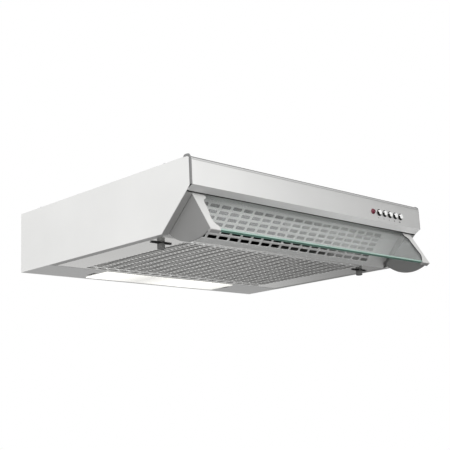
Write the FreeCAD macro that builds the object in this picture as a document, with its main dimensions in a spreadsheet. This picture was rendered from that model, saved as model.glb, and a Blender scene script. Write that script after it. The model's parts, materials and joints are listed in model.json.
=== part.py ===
import FreeCAD, Part
import math
import os
import types

import Sketcher

# Visor range hood for fixing under a wall cabinet.
# Local layout: x across the hood from its middle, y from the top of the slope back to the wall,
# z up from the underside. The fascia stands a little forward of the side panels. Every finished
# piece is then shifted so that the origin is the middle of the cabinet screw pattern on the top.

# Driving sizes in millimetres, degrees and counts
SIZES = (
    # casing
    ("hood_width", 600), ("hood_depth", 465), ("hood_height", 110),
    ("band_height", 46), ("slope_run", 68), ("sheet_gauge", 0.8),
    ("seam_gap", 1), ("seam_flange", 12), ("slope_flange", 13.5),
    ("fascia_forward", 5), ("fascia_wrap", 4), ("fascia_return", 12), ("fascia_bend", 9), ("bend_gap", 0.3),
    ("top_return", 12),
    # cabinet and wall fixings
    ("mount_depth", 250), ("mount_inset", 38), ("mount_length", 300), ("mount_hole_radius", 2.75),
    ("wall_slot_inset", 100), ("wall_slot_height", 88), ("wall_slot_length", 14), ("wall_slot_radius", 3),
    # slotted grille and tray
    ("grille_inset", 9), ("grille_tilt", 5.8), ("grille_top", 14), ("grille_side_gap", 1.2),
    ("slot_length", 20.2), ("slot_width", 6.2), ("column_pitch", 25.2), ("row_pitch", 10.5),
    ("mesh_side_margin", 44), ("mesh_offset", 11.6), ("grille_foot_margin", 9.5), ("grille_rows", 6),
    ("hanger_width", 30), ("hanger_leg", 12), ("hanger_inset", 190),
    ("tray_gap", 1), ("tray_slot_width", 7.4), ("tray_row_pitch", 13),
    ("tray_front_margin", 4), ("tray_rear_margin", 8), ("tray_lip", 10), ("lip_start", 78),
    ("tray_pin_radius", 2), ("tray_pin_height", 4.6), ("tray_pin_setback", 4), ("tray_pin_length", 9.5),
    ("bracket_length", 16), ("bracket_height", 9), ("running_gap", 0.06),
    # grease filter
    ("filter_side_gap", 19), ("filter_rim", 10), ("filter_thickness", 8), ("filter_end_gap", 10),
    ("filter_pad_thickness", 2), ("retainer_width", 8), ("retainer_inset", 70),
    # turn latches
    ("latch_inset", 27.5), ("latch_setback", 36.5), ("latch_turn", 2), ("latch_shaft_radius", 4),
    ("latch_knob_radius", 6.5), ("latch_knob_length", 11), ("latch_knob_edge", 1.2),
    ("wing_length", 36), ("wing_width", 9), ("wing_rise", 2.6), ("wing_thickness", 2.6), ("wing_tip", 1),
    ("wing_drop", 1),
    ("tongue_reach", 32), ("tongue_width", 9), ("tongue_thickness", 2), ("tongue_gap", 0.4),
    # visor
    ("hinge_along", 17.5), ("hinge_inset", 5.5), ("visor_open_angle", 31.5), ("visor_inset", 14.5),
    ("visor_recess", 0.3), ("strip_thickness", 1.6), ("glass_thickness", 4), ("glass_reach", 73.5),
    ("strip_reach", 77.5), ("strip_head_width", 25), ("strip_head_length", 7), ("strip_neck_width", 16),
    ("strip_neck_drop", 13), ("strip_waist_width", 11.5), ("strip_foot_width", 20), ("strip_foot_rise", 7),
    ("shelf_depth", 6.5), ("cheek_radius", 75), ("cheek_thickness", 2.5), ("cheek_hub_radius", 6.4),
    ("pivot_radius", 2.5), ("pivot_flange_radius", 4.4), ("pivot_flange_length", 3), ("pivot_end_gap", 0.5),
    # lamp
    ("lamp_plate_depth", 89.6), ("lamp_seam", 2.6), ("lamp_flange", 12),
    ("lens_inset", 135), ("lens_depth", 68), ("lens_setback", 8),
    ("lens_gap", 0.3), ("lens_rim", 4), ("lens_rim_thickness", 2), ("lens_proud", 1.2),
    ("finger_slot_width", 7), ("finger_slot_length", 24), ("finger_slot_gap", 7),
    ("reflector_height", 50), ("reflector_gauge", 0.6), ("reflector_gap", 0.6),
    ("holder_radius", 13), ("holder_length", 34), ("bulb_radius", 17), ("bulb_length", 82),
    ("bulb_neck_radius", 8), ("bulb_neck_length", 12), ("bulb_tip_radius", 4),
    # blower and outlet
    ("fan_spacing", 105), ("scroll_start_radius", 84), ("scroll_front_radius", 90),
    ("scroll_side_radius", 102), ("scroll_wall", 1.2), ("scroll_height", 68), ("scroll_lamp_gap", 6.6),
    ("inlet_radius", 64),
    ("motor_radius", 38), ("motor_height", 36), ("motor_cap_radius", 18), ("motor_cap_height", 5),
    ("shaft_radius", 4), ("shaft_length", 44), ("shaft_depth", 14),
    ("impeller_radius", 75), ("impeller_drop", 44), ("impeller_height", 24), ("impeller_plate", 1.6),
    ("impeller_hub_radius", 11), ("impeller_hub_length", 18), ("impeller_ring_width", 12),
    ("blade_root_radius", 58), ("blade_tip_radius", 71), ("blade_lean", 11), ("blade_thickness", 1.4),
    ("blade_count", 20),
    ("outlet_rear_gap", 8), ("spigot_radius", 60), ("spigot_wall", 1.5), ("spigot_height", 38),
    ("spigot_flange", 12), ("spigot_flange_thickness", 1.6), ("spigot_ledge", 4),
    ("spigot_ledge_height", 10), ("flap_gap", 0.6), ("flap_thickness", 1), ("flap_hinge_gap", 3.6),
    ("flap_rod_radius", 1.8),
    ("rod_end_gap", 0.1), ("knuckle_radius", 3.2), ("knuckle_length", 9), ("knuckle_front", 16),
    ("knuckle_rear", 32),
    # controls
    ("control_height", 81), ("control_inset", 131), ("button_pitch", 16.6), ("button_radius", 4.7),
    ("button_proud", 4), ("button_depth", 1.4), ("button_crown", 1), ("button_gap", 0.4),
    ("stem_radius", 3), ("stem_length", 17), ("button_travel", 2.5),
    ("indicator_spacing", 18.8), ("indicator_radius", 5.2), ("indicator_proud", 1.4),
    ("indicator_length", 9), ("switch_margin", 8), ("switch_depth", 30), ("switch_height", 24),
    ("switch_floor", 5), ("cap_room", 5),
    # wiring
    ("terminal_width", 60), ("terminal_depth", 50), ("terminal_height", 36), ("terminal_inset", 14),
    ("terminal_drop", 14), ("capacitor_radius", 14), ("capacitor_length", 50),
    ("capacitor_inset", 95), ("gland_inset", 150), ("gland_rear_inset", 35),
    ("gland_radius", 8), ("gland_nut_radius", 11),
    ("gland_nut_height", 5), ("gland_height", 14), ("gland_bore_radius", 4),
    ("loom_radius", 3), ("loom_bend", 30), ("loom_front", 62),
    # screws
    ("screw_radius", 1.6), ("screw_length", 5), ("screw_head_radius", 3.5), ("screw_head_height", 2),
    ("screw_end_inset", 60), ("screw_gap", 0.1),
)

doc = FreeCAD.newDocument("visor_hood")
sheet = doc.addObject("Spreadsheet::Sheet", "Sizes")


class Size:
    """A number together with the sheet expression that gives it."""

    def __init__(self, value, text):
        self.value = value
        self.text = text

    def __add__(self, other):
        return Size(self.value + number(other), f"({self.text} + {words(other)})")

    __radd__ = __add__

    def __sub__(self, other):
        return Size(self.value - number(other), f"({self.text} - {words(other)})")

    def __rsub__(self, other):
        return Size(number(other) - self.value, f"({words(other)} - {self.text})")

    def __mul__(self, other):
        return Size(self.value * number(other), f"({self.text} * {words(other)})")

    __rmul__ = __mul__

    def __truediv__(self, other):
        return Size(self.value / number(other), f"({self.text} / {words(other)})")

    def __neg__(self):
        return Size(-self.value, f"(-{self.text})")


def number(thing):
    return thing.value if isinstance(thing, Size) else float(thing)


def words(thing):
    return thing.text if isinstance(thing, Size) else repr(thing)


def root(thing):
    return Size(math.sqrt(thing.value), f"sqrt({thing.text})")


def whole(thing):
    return Size(math.floor(thing.value), f"floor({thing.text})")


def sine(angle):
    return Size(math.sin(math.radians(angle.value)), f"sin({angle.text})")


def cosine(angle):
    return Size(math.cos(math.radians(angle.value)), f"cos({angle.text})")


def slant_angle(up, along):
    turn = math.degrees(math.atan2(up.value, along.value))
    return Size(turn, f"(atan2({up.text}; {along.text}) / 1deg)")


def fill_sheet():
    named = {}
    for row, (alias, value) in enumerate(SIZES, start=1):
        sheet.set(f"A{row}", alias)
        sheet.set(f"B{row}", str(value))
        sheet.setAlias(f"B{row}", alias)
        named[alias] = Size(value, f"Sizes.{alias}")
    doc.recompute()
    return types.SimpleNamespace(**named)


d = fill_sheet()

# Shared derived sizes
half = d.hood_width / 2
inner_half = half - d.sheet_gauge
rise = d.hood_height - d.band_height
slant = root(rise * rise + d.slope_run * d.slope_run)
slope_angle = slant_angle(rise, d.slope_run)
under_top = d.hood_height - d.sheet_gauge
back_inside = d.hood_depth - d.sheet_gauge
face_y = -d.fascia_forward
nodes = {}


def on_slope(along, inward):
    """Point (y, z) a distance down the sloping front and a distance into the hood from it."""
    y = (along * d.slope_run + inward * rise) / slant
    z = rise - (along * rise - inward * d.slope_run) / slant
    return y, z


grille_foot = (rise * slant + d.grille_inset * d.slope_run) / rise
tray_front = on_slope(grille_foot, d.grille_inset)[0] + d.tray_gap
tray_half = half - d.slope_flange - d.tray_gap
lamp_front = back_inside - d.lamp_plate_depth
tray_rear = lamp_front - d.lamp_seam
tray_axis_y = tray_rear - d.tray_pin_setback
latch_x = tray_half - d.latch_inset
filter_half = latch_x - d.tongue_width / 2 - d.filter_side_gap
visor_half = half - d.visor_inset
lens_half = half - d.lens_inset
scroll_rear = lamp_front - d.scroll_lamp_gap
outlet_y = scroll_rear - d.outlet_rear_gap - d.spigot_radius
fan_y = outlet_y - d.fan_spacing
hinge_y, hinge_z = on_slope(d.hinge_along, d.hinge_inset)
wall_angle = slope_angle + d.grille_tilt
strip_face = d.hinge_inset - d.visor_recess
glass_face = strip_face - d.strip_thickness


def on_wall(along, inward):
    """Point (y, z) a distance down the slotted wall and a distance behind it."""
    foot_y, foot_z = on_slope(grille_foot, d.grille_inset)
    above = grille_foot - along
    y = foot_y - above * cosine(wall_angle) + inward * sine(wall_angle)
    z = foot_z + above * sine(wall_angle) + inward * cosine(wall_angle)
    return y, z


# Document helpers

def bind(thing, prop, size):
    thing.setExpression(prop, words(size))


def place(thing, x=0, y=0, z=0, turn=None, about=(1, 0, 0)):
    """Put a finished piece in the hood and shift it to the cabinet screw datum."""
    if turn is not None:
        rotation = FreeCAD.Rotation(FreeCAD.Vector(*about), turn.value)
        thing.Placement = FreeCAD.Placement(FreeCAD.Vector(), rotation)
        bind(thing, ".Placement.Rotation.Angle", turn)
    bind(thing, ".Placement.Base.x", x)
    bind(thing, ".Placement.Base.y", y - d.mount_depth)
    bind(thing, ".Placement.Base.z", z - d.hood_height)


def node(thing, label, x=0, y=0, z=0, turn=None, about=(1, 0, 0)):
    place(thing, x, y, z, turn, about)
    thing.Label = label
    nodes[label] = thing
    return thing


def new_body(name):
    return doc.addObject("PartDesign::Body", f"{name}_body")


def origin_part(body, role):
    return next(part for part in body.Origin.OriginFeatures if part.Role == role)


def sketch(body, role, lift=None):
    drawing = body.newObject("Sketcher::SketchObject", "sketch")
    drawing.AttachmentSupport = (origin_part(body, role), "")
    drawing.MapMode = "FlatFace"
    if lift is not None:
        bind(drawing, ".AttachmentOffset.Base.z", lift)
    return drawing


def pin_point(drawing, geometry, position, x, y):
    for kind, size in (("DistanceX", x), ("DistanceY", y)):
        index = drawing.addConstraint(Sketcher.Constraint(kind, -1, 1, geometry, position, number(size)))
        bind(drawing, f"Constraints[{index}]", size)


def fix_radius(drawing, geometry, radius):
    index = drawing.addConstraint(Sketcher.Constraint("Radius", geometry, number(radius)))
    bind(drawing, f"Constraints[{index}]", radius)


def short_arc(start, end, radius, turn):
    """Arc of less than a half circle; turn is 1 for anticlockwise and -1 for clockwise."""
    chord = end - start
    middle = start + chord / 2
    height = math.sqrt(max(radius * radius - chord.Length * chord.Length / 4, 0))
    across = FreeCAD.Vector(-chord.y, chord.x, 0)
    centre = middle + across * (turn * height / chord.Length)
    first, last = (start, end) if turn > 0 else (end, start)
    angles = [math.atan2(point.y - centre.y, point.x - centre.x) for point in (first, last)]
    return Part.ArcOfCircle(Part.Circle(centre, FreeCAD.Vector(0, 0, 1), radius), *angles)


def loop(drawing, corners):
    """Closed outline of (x, y) corners; a corner with (radius, turn) starts an arc to the next one."""
    points = [FreeCAD.Vector(number(corner[0]), number(corner[1]), 0) for corner in corners]
    runs = []
    for index, corner in enumerate(corners):
        start, end = points[index], points[(index + 1) % len(points)]
        if len(corner) == 2:
            runs.append((drawing.addGeometry(Part.LineSegment(start, end)), 1, 2))
        else:
            _, _, radius, turn = corner
            geometry = drawing.addGeometry(short_arc(start, end, number(radius), turn))
            runs.append((geometry, 1, 2) if turn > 0 else (geometry, 2, 1))
    for index, (geometry, _, end) in enumerate(runs):
        following, begin, _ = runs[(index + 1) % len(runs)]
        drawing.addConstraint(Sketcher.Constraint("Coincident", geometry, end, following, begin))
    for (geometry, begin, _), corner in zip(runs, corners):
        pin_point(drawing, geometry, begin, corner[0], corner[1])
        if len(corner) > 2:
            fix_radius(drawing, geometry, corner[2])


def rectangle(drawing, low_x, high_x, low_y, high_y):
    loop(drawing, ((low_x, low_y), (high_x, low_y), (high_x, high_y), (low_x, high_y)))


def circle(drawing, x, y, radius):
    centre = FreeCAD.Vector(number(x), number(y), 0)
    geometry = drawing.addGeometry(Part.Circle(centre, FreeCAD.Vector(0, 0, 1), number(radius)))
    pin_point(drawing, geometry, 3, x, y)
    fix_radius(drawing, geometry, radius)


def pad(body, drawing, length, back=False, middle=False):
    feature = body.newObject("PartDesign::Pad", "pad")
    feature.Profile = drawing
    bind(feature, "Length", length)
    feature.Reversed = back
    feature.Midplane = middle
    return feature


def pocket(body, drawing, depth=None):
    """Cut down from a sketch by a depth, or right through both ways."""
    doc.recompute()
    before = body.Shape.Volume
    feature = body.newObject("PartDesign::Pocket", "pocket")
    feature.Profile = drawing
    if depth is None:
        feature.Type = "ThroughAll"
        feature.Midplane = True
    else:
        bind(feature, "Length", depth)
    doc.recompute()
    if body.Shape.Volume >= before:
        raise RuntimeError(f"a pocket of {body.Name} cuts nothing")
    return feature


def revolve(body, drawing, axis):
    feature = body.newObject("PartDesign::Revolution", "revolution")
    feature.Profile = drawing
    feature.ReferenceAxis = (origin_part(body, axis), [""])
    feature.Angle = 360
    return feature


def box(low_x, high_x, low_y, high_y, low_z, high_z):
    block = doc.addObject("Part::Box", "block")
    for prop, size in (("Length", high_x - low_x), ("Width", high_y - low_y), ("Height", high_z - low_z)):
        bind(block, prop, size)
    for axis, size in zip("xyz", (low_x, low_y, low_z)):
        bind(block, f".Placement.Base.{axis}", size)
    return block


TURN_TO = {
    "x": FreeCAD.Rotation(FreeCAD.Vector(0, 1, 0), 90),
    "y": FreeCAD.Rotation(FreeCAD.Vector(1, 0, 0), -90),
    "z": FreeCAD.Rotation(),
}


def rod(axis, x, y, z, radius, length):
    """Cylinder that starts at a point and runs along plus x, y or z."""
    cylinder = doc.addObject("Part::Cylinder", "rod")
    cylinder.Placement = FreeCAD.Placement(FreeCAD.Vector(), TURN_TO[axis])
    bind(cylinder, "Radius", radius)
    bind(cylinder, "Height", length)
    for letter, size in zip("xyz", (x, y, z)):
        bind(cylinder, f".Placement.Base.{letter}", size)
    return cylinder


def fuse(*shapes):
    union = doc.addObject("Part::MultiFuse", "union")
    union.Shapes = shapes
    return union


def cut(base, *tools):
    difference = doc.addObject("Part::Cut", "difference")
    difference.Base = base
    difference.Tool = tools[0] if len(tools) == 1 else fuse(*tools)
    return difference


def group(*shapes):
    """Identical pieces that share one node, each still its own solid."""
    compound = doc.addObject("Part::Compound", "group")
    compound.Links = shapes
    return compound


def slot_grid(body, drawing, columns, rows, row_pitch):
    """Cut one slot and repeat it over columns and rows."""
    slot = pocket(body, drawing)
    grid = body.newObject("PartDesign::MultiTransform", "grid")
    grid.Originals = [slot]
    steps = []
    for axis, count, pitch in (("X_Axis", columns, d.column_pitch), ("Y_Axis", rows, row_pitch)):
        pattern = body.newObject("PartDesign::LinearPattern", "pattern")
        pattern.Direction = (origin_part(body, axis), [""])
        bind(pattern, "Length", (count - 1) * pitch)
        bind(pattern, "Occurrences", count)
        steps.append(pattern)
    grid.Transformations = steps
    grid.Refine = False
    body.Tip = grid


# Casing

def make_side_panel(side, label):
    """Painted side sheet with flanges along the slope, the underside, the top and the back."""
    body = new_body(label)
    face = side * half
    inward = side > 0
    gauge = d.sheet_gauge
    front = face_y + d.fascia_wrap + d.seam_gap
    drawing = sketch(body, "YZ_Plane", face)
    bend = d.fascia_bend
    bend_y = face_y + bend
    reach = bend - gauge - d.bend_gap
    shoulder = d.hood_height - bend + root(reach * reach - (bend_y - front) * (bend_y - front))
    loop(drawing, (
        (bend_y, under_top), (front, shoulder), (front, rise - front * rise / d.slope_run), (d.slope_run, 0),
        (d.hood_depth, 0), (d.hood_depth, under_top),
    ))
    pad(body, drawing, gauge, back=inward)
    flange_start = d.fascia_return + d.seam_gap
    knee = d.slope_run + gauge * (slant - d.slope_run) / rise
    drawing = sketch(body, "YZ_Plane", face)
    loop(drawing, (
        on_slope(flange_start, 0), (d.slope_run, 0), (tray_rear, 0),
        (tray_rear, gauge), (knee, gauge), on_slope(flange_start, gauge),
    ))
    pad(body, drawing, d.slope_flange, back=inward)
    flange_front = d.top_return + d.seam_gap
    drawing = sketch(body, "YZ_Plane", face)
    loop(drawing, (
        (flange_front, under_top), (flange_front, under_top - gauge),
        (back_inside - gauge, under_top - gauge), (back_inside - gauge, d.lamp_flange + gauge),
        (back_inside, d.lamp_flange + gauge), (back_inside, under_top),
    ))
    pad(body, drawing, d.seam_flange, back=inward)
    drawing = sketch(body, "XY_Plane", under_top)
    for y in screw_rows():
        circle(drawing, side * screw_column(), y, d.screw_radius + d.screw_gap)
    pocket(body, drawing, gauge + gauge)
    node(body, label)


def screw_column():
    return half - d.seam_flange / 2


def screw_rows():
    return d.screw_end_inset, d.hood_depth - d.screw_end_inset


def spigot_screw_points():
    """Screw places at the four diagonals of the spigot flange, measured from the spigot axis."""
    offset = (d.spigot_radius + d.spigot_flange / 2) / root(Size(2, "2"))
    return [(across * offset, along * offset) for across in (-1, 1) for along in (-1, 1)]


def spigot_screw_holes(drawing, centre_y=None):
    for x, y in spigot_screw_points():
        circle(drawing, x, y + (outlet_y if centre_y is None else centre_y), d.screw_radius + d.screw_gap)


def make_top_panel():
    """Flat top with the cabinet fixings, the duct hole and the cable outlet."""
    body = new_body("top_panel")
    drawing = sketch(body, "XY_Plane", under_top)
    rectangle(drawing, -half, half, d.top_return + d.seam_gap, d.hood_depth)
    circle(drawing, 0, outlet_y, d.spigot_radius - d.spigot_wall)
    circle(drawing, d.gland_inset - half, d.hood_depth - d.gland_rear_inset, d.gland_radius + d.screw_gap)
    spigot_screw_holes(drawing)
    for side in (-1, 1):
        for end in (-1, 1):
            y = d.mount_depth + end * d.mount_length / 2
            circle(drawing, side * (half - d.mount_inset), y, d.mount_hole_radius)
        for y in screw_rows():
            circle(drawing, side * screw_column(), y, d.screw_radius + d.screw_gap)
    pad(body, drawing, d.sheet_gauge)
    node(body, "top_panel")


def make_back_panel():
    """Flat back with two slots for hanging the hood on wall screws."""
    body = new_body("back_panel")
    drawing = sketch(body, "XZ_Plane", -d.hood_depth)
    rectangle(drawing, -inner_half, inner_half, 0, under_top)
    pad(body, drawing, d.sheet_gauge)
    drawing = sketch(body, "XZ_Plane", -d.hood_depth)
    straight = d.wall_slot_length / 2 - d.wall_slot_radius
    low, high = d.wall_slot_height - d.wall_slot_radius, d.wall_slot_height + d.wall_slot_radius
    for side in (-1, 1):
        middle = side * (half - d.wall_slot_inset)
        end = middle + straight + d.wall_slot_radius
        start = middle - straight - d.wall_slot_radius
        loop(drawing, (
            (middle - straight, low), (middle + straight, low, d.wall_slot_radius, 1),
            (end, d.wall_slot_height, d.wall_slot_radius, 1),
            (middle + straight, high), (middle - straight, high, d.wall_slot_radius, 1),
            (start, d.wall_slot_height, d.wall_slot_radius, 1),
        ))
    pocket(body, drawing)
    node(body, "back_panel")


def make_front_fascia():
    """Folded front band: rounded over the top, turned in at the ends and along the slope."""
    body = new_body("front_fascia")
    gauge, bend = d.sheet_gauge, d.fascia_bend
    end_y, end_z = on_slope(d.fascia_return, 0)
    across, drop = end_y - face_y, rise - end_z
    length = root(across * across + drop * drop)
    knee = rise + gauge * (length - drop) / across
    inside, bend_y = face_y + gauge, face_y + bend
    drawing = sketch(body, "YZ_Plane")
    loop(drawing, (
        (d.top_return, d.hood_height), (bend_y, d.hood_height, bend, 1), (face_y, d.hood_height - bend),
        (face_y, rise), (inside, knee), (inside, d.hood_height - bend, bend - gauge, -1),
        (bend_y, under_top), (d.top_return, under_top),
    ))
    pad(body, drawing, d.hood_width, middle=True)
    drawing = sketch(body, "YZ_Plane")
    loop(drawing, (
        (face_y, rise), (end_y, end_z), (end_y + gauge * drop / length, end_z + gauge * across / length),
        (inside, knee),
    ))
    pad(body, drawing, 2 * inner_half - d.seam_gap, middle=True)
    for side in (-1, 1):
        drawing = sketch(body, "YZ_Plane", side * half)
        rectangle(drawing, inside, face_y + d.fascia_wrap, knee, d.hood_height - bend)
        pad(body, drawing, gauge, back=side > 0)
    drawing = sketch(body, "XZ_Plane")
    for index in range(len(BUTTON_NAMES)):
        circle(drawing, button_x(index), d.control_height, d.button_radius + d.button_gap)
    circle(drawing, indicator_x(), d.control_height, d.indicator_radius)
    pocket(body, drawing)
    node(body, "front_fascia")


# Slotted grille, filter tray and grease filter

def mesh_columns(half_width):
    return whole((2 * (half_width - d.mesh_side_margin) - d.slot_length) / d.column_pitch) + 1


def make_front_grille():
    """Slotted wall behind the visor; it widens below the cheeks to the side flanges."""
    body = new_body("front_grille")
    grille_half = visor_half - d.cheek_thickness - d.grille_side_gap
    ear_half = half - d.slope_flange - d.tray_gap / 2
    ear_top = d.hinge_along + d.cheek_radius + d.seam_gap
    drawing = sketch(body, "XY_Plane")
    loop(drawing, (
        (-grille_half, d.grille_top), (grille_half, d.grille_top), (grille_half, ear_top),
        (ear_half, ear_top), (ear_half, grille_foot), (-ear_half, grille_foot),
        (-ear_half, ear_top), (-grille_half, ear_top),
    ))
    pad(body, drawing, d.sheet_gauge)
    columns = mesh_columns(grille_half)
    first = -(columns - 1) * d.column_pitch / 2 - d.mesh_offset
    last_row = grille_foot - d.grille_foot_margin - d.slot_width
    start = last_row - (d.grille_rows - 1) * d.row_pitch
    drawing = sketch(body, "XY_Plane")
    rectangle(drawing, first - d.slot_length / 2, first + d.slot_length / 2, start, start + d.slot_width)
    slot_grid(body, drawing, columns, d.grille_rows, d.row_pitch)
    y, z = on_wall(0, 0)
    node(body, "front_grille", y=y, z=z, turn=-wall_angle)


def make_grille_hangers():
    """Two folded straps that hang the slotted wall from the top panel."""
    gauge = d.sheet_gauge
    straps = []
    for side in (-1, 1):
        body = new_body("grille_hanger")
        middle = side * (half - d.hanger_inset)
        drawing = sketch(body, "YZ_Plane", middle - d.hanger_width / 2)
        knee_y, knee_z = on_wall(d.grille_top, gauge)
        inner_y, inner_z = on_wall(d.grille_top, gauge + gauge)
        back = knee_y + gauge
        inner_z = inner_z + (inner_y - back) * sine(wall_angle) / cosine(wall_angle)
        foot = d.grille_top + d.hanger_leg
        loop(drawing, (
            on_wall(foot, gauge), on_wall(foot, gauge + gauge), (back, inner_z), (back, under_top - gauge),
            (knee_y + d.hanger_leg, under_top - gauge), (knee_y + d.hanger_leg, under_top),
            (knee_y, under_top), (knee_y, knee_z),
        ))
        pad(body, drawing, d.hanger_width)
        straps.append(body)
    node(group(*straps), "grille_hangers")


def latch_y():
    return tray_front + d.latch_setback


def make_filter_tray():
    """Slotted steel tray with turned up lips, hinged along its rear edge."""
    body = new_body("filter_tray")
    gauge = d.sheet_gauge
    drawing = sketch(body, "XY_Plane")
    rectangle(drawing, -tray_half, tray_half, tray_front, tray_rear)
    for side in (-1, 1):
        circle(drawing, side * latch_x, latch_y(), d.latch_shaft_radius + d.running_gap)
    pad(body, drawing, gauge)
    lip_front = tray_front + d.lip_start
    for side in (-1, 1):
        drawing = sketch(body, "XY_Plane")
        outer, inner = side * tray_half, side * (tray_half - gauge)
        rectangle(drawing, outer, inner, lip_front, tray_rear)
        pad(body, drawing, d.tray_lip)
    for low in (tray_front, tray_rear - gauge):
        drawing = sketch(body, "XY_Plane")
        rectangle(drawing, -filter_half, filter_half, low, low + gauge)
        pad(body, drawing, d.tray_lip)
    columns = mesh_columns(tray_half)
    first = -(columns - 1) * d.column_pitch / 2 - d.mesh_offset
    start = tray_front + d.tray_front_margin
    run = tray_rear - d.tray_rear_margin - start - d.tray_slot_width
    rows = whole(run / d.tray_row_pitch) + 1
    drawing = sketch(body, "XY_Plane")
    reach = d.slot_length / 2
    rectangle(drawing, first - reach, first + reach, start, start + d.tray_slot_width)
    slot_grid(body, drawing, columns, rows, d.tray_row_pitch)
    node(body, "filter_tray")


def make_tray_hinges():
    """Stub pins on the tray turn in two brackets fixed to the side panels."""
    pins = []
    for side, label in ((-1, "tray_bracket_left"), (1, "tray_bracket_right")):
        start = tray_half if side > 0 else -tray_half - d.tray_pin_length
        pins.append(rod("x", start, tray_axis_y, d.tray_pin_height, d.tray_pin_radius, d.tray_pin_length))
        near, far = half - d.slope_flange, inner_half
        low, high = (near, far) if side > 0 else (-far, -near)
        middle = tray_axis_y - d.tray_pin_setback
        low_y, high_y = middle - d.bracket_length / 2, middle + d.bracket_length / 2
        block = box(low, high, low_y, high_y, d.sheet_gauge, d.sheet_gauge + d.bracket_height)
        bore = rod("x", low, tray_axis_y, d.tray_pin_height, d.tray_pin_radius + d.running_gap, far - near)
        node(cut(block, bore), label)
    node(group(*pins), "tray_hinge_pins")


def make_grease_filter():
    """Aluminium rim round a pad of expanded mesh, held on the tray by two spring bars."""
    front, rear = tray_front + d.filter_end_gap, tray_rear - d.filter_end_gap
    wide = filter_half
    floor = d.sheet_gauge
    body = new_body("filter_rim")
    drawing = sketch(body, "XY_Plane", floor)
    rectangle(drawing, -wide, wide, front, rear)
    inner_front, inner_rear = front + d.filter_rim, rear - d.filter_rim
    rectangle(drawing, d.filter_rim - wide, wide - d.filter_rim, inner_front, inner_rear)
    pad(body, drawing, d.filter_thickness)
    node(body, "filter_rim")
    mesh = box(d.filter_rim - wide, wide - d.filter_rim, inner_front, inner_rear,
               floor, floor + d.filter_pad_thickness)
    node(group(mesh), "filter_mesh")
    bars = []
    reach = tray_half - d.sheet_gauge
    low = floor + d.filter_thickness
    for start in (front + d.retainer_inset, rear - d.retainer_inset):
        bars.append(box(-reach, reach, start, start + d.retainer_width, low, low + d.sheet_gauge))
    node(group(*bars), "filter_retainers")


def bow_radius(chord, sagitta):
    return chord * chord / (8 * sagitta) + sagitta / 2


def make_latch(side, label):
    """Turn latch: bowed finger wing and knob below the tray, tongue above it."""
    body = new_body(label)
    reach = d.wing_length / 2
    tip = -d.wing_drop - d.wing_rise
    drawing = sketch(body, "XZ_Plane")
    under = bow_radius(d.wing_length, d.wing_rise - d.wing_thickness + d.wing_tip)
    loop(drawing, (
        (reach, tip - d.wing_tip), (reach, tip, bow_radius(d.wing_length, d.wing_rise), 1),
        (-reach, tip), (-reach, tip - d.wing_tip, under, -1),
    ))
    pad(body, drawing, d.wing_width, middle=True)
    drawing = sketch(body, "XZ_Plane")
    knob_top = -d.wing_drop - d.wing_thickness / 2
    top = d.sheet_gauge + d.tongue_gap + d.tongue_thickness
    knob_foot = -d.latch_knob_length
    loop(drawing, (
        (0, top), (0, knob_foot), (d.latch_knob_radius - d.latch_knob_edge, knob_foot),
        (d.latch_knob_radius, knob_foot + d.latch_knob_edge), (d.latch_knob_radius, knob_top),
        (d.latch_shaft_radius, knob_top), (d.latch_shaft_radius, top),
    ))
    revolve(body, drawing, "Z_Axis")
    drawing = sketch(body, "XY_Plane", d.sheet_gauge + d.tongue_gap)
    wide = d.tongue_width / 2
    loop(drawing, (
        (-wide, 0), (wide, 0), (wide, d.tongue_reach - wide, wide, 1),
        (0, d.tongue_reach, wide, 1), (-wide, d.tongue_reach - wide),
    ))
    pad(body, drawing, d.tongue_thickness)
    node(body, label, x=side * latch_x, y=latch_y(), turn=-d.latch_turn, about=(0, 0, 1))


# Visor

def visor_node(body, label):
    node(body, label, y=hinge_y, z=hinge_z, turn=-d.visor_open_angle)


def make_visor_glass():
    """Clear toughened pane between the two cheeks."""
    inside = visor_half - d.cheek_thickness
    head = root(d.cheek_hub_radius * d.cheek_hub_radius - strip_face * strip_face)
    pane = box(-inside, inside, -glass_face, d.glass_thickness - glass_face, -d.glass_reach, head)
    visor_node(group(pane), "visor_glass")


def make_visor_cheek(side, label):
    """Fan plate on the hinge pivot, with a waisted strip over the pane and a shelf under it."""
    body = new_body(label)
    outer = side * visor_half
    inward = side > 0
    sweep = Size(90, "90") - slope_angle + d.visor_open_angle
    hub, radius = d.cheek_hub_radius, d.cheek_radius
    head = root(hub * hub - strip_face * strip_face)
    foot = root(radius * radius - strip_face * strip_face)
    drawing = sketch(body, "YZ_Plane", outer)
    loop(drawing, (
        (-strip_face, head), (-strip_face, -foot, radius, 1),
        (radius * sine(sweep), -radius * cosine(sweep)),
        (hub * sine(sweep), -hub * cosine(sweep), hub, 1),
    ))
    circle(drawing, 0, 0, d.pivot_radius + d.running_gap)
    pad(body, drawing, d.cheek_thickness, back=inward)
    drawing = sketch(body, "XZ_Plane", glass_face)
    neck = -d.strip_head_length - d.strip_neck_drop
    waist_end = -d.strip_reach + d.strip_foot_rise
    bow = (neck - waist_end) / 2
    inner = [side * (visor_half - width) for width in (
        d.strip_head_width, d.strip_neck_width, d.strip_foot_width)]
    waist = bow_radius(2 * bow, d.strip_neck_width - d.strip_waist_width)
    corners = (
        (outer, head), (inner[0], head), (inner[0], -d.strip_head_length), (inner[1], neck, waist, side),
        (inner[2], waist_end), (inner[2], -d.strip_reach), (outer, -d.strip_reach),
    )
    loop(drawing, corners)
    pad(body, drawing, d.strip_thickness)
    drawing = sketch(body, "XZ_Plane", glass_face)
    rectangle(drawing, inner[2], outer, -d.strip_reach, -d.glass_reach)
    pad(body, drawing, d.shelf_depth, back=True)
    visor_node(body, label)


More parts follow.
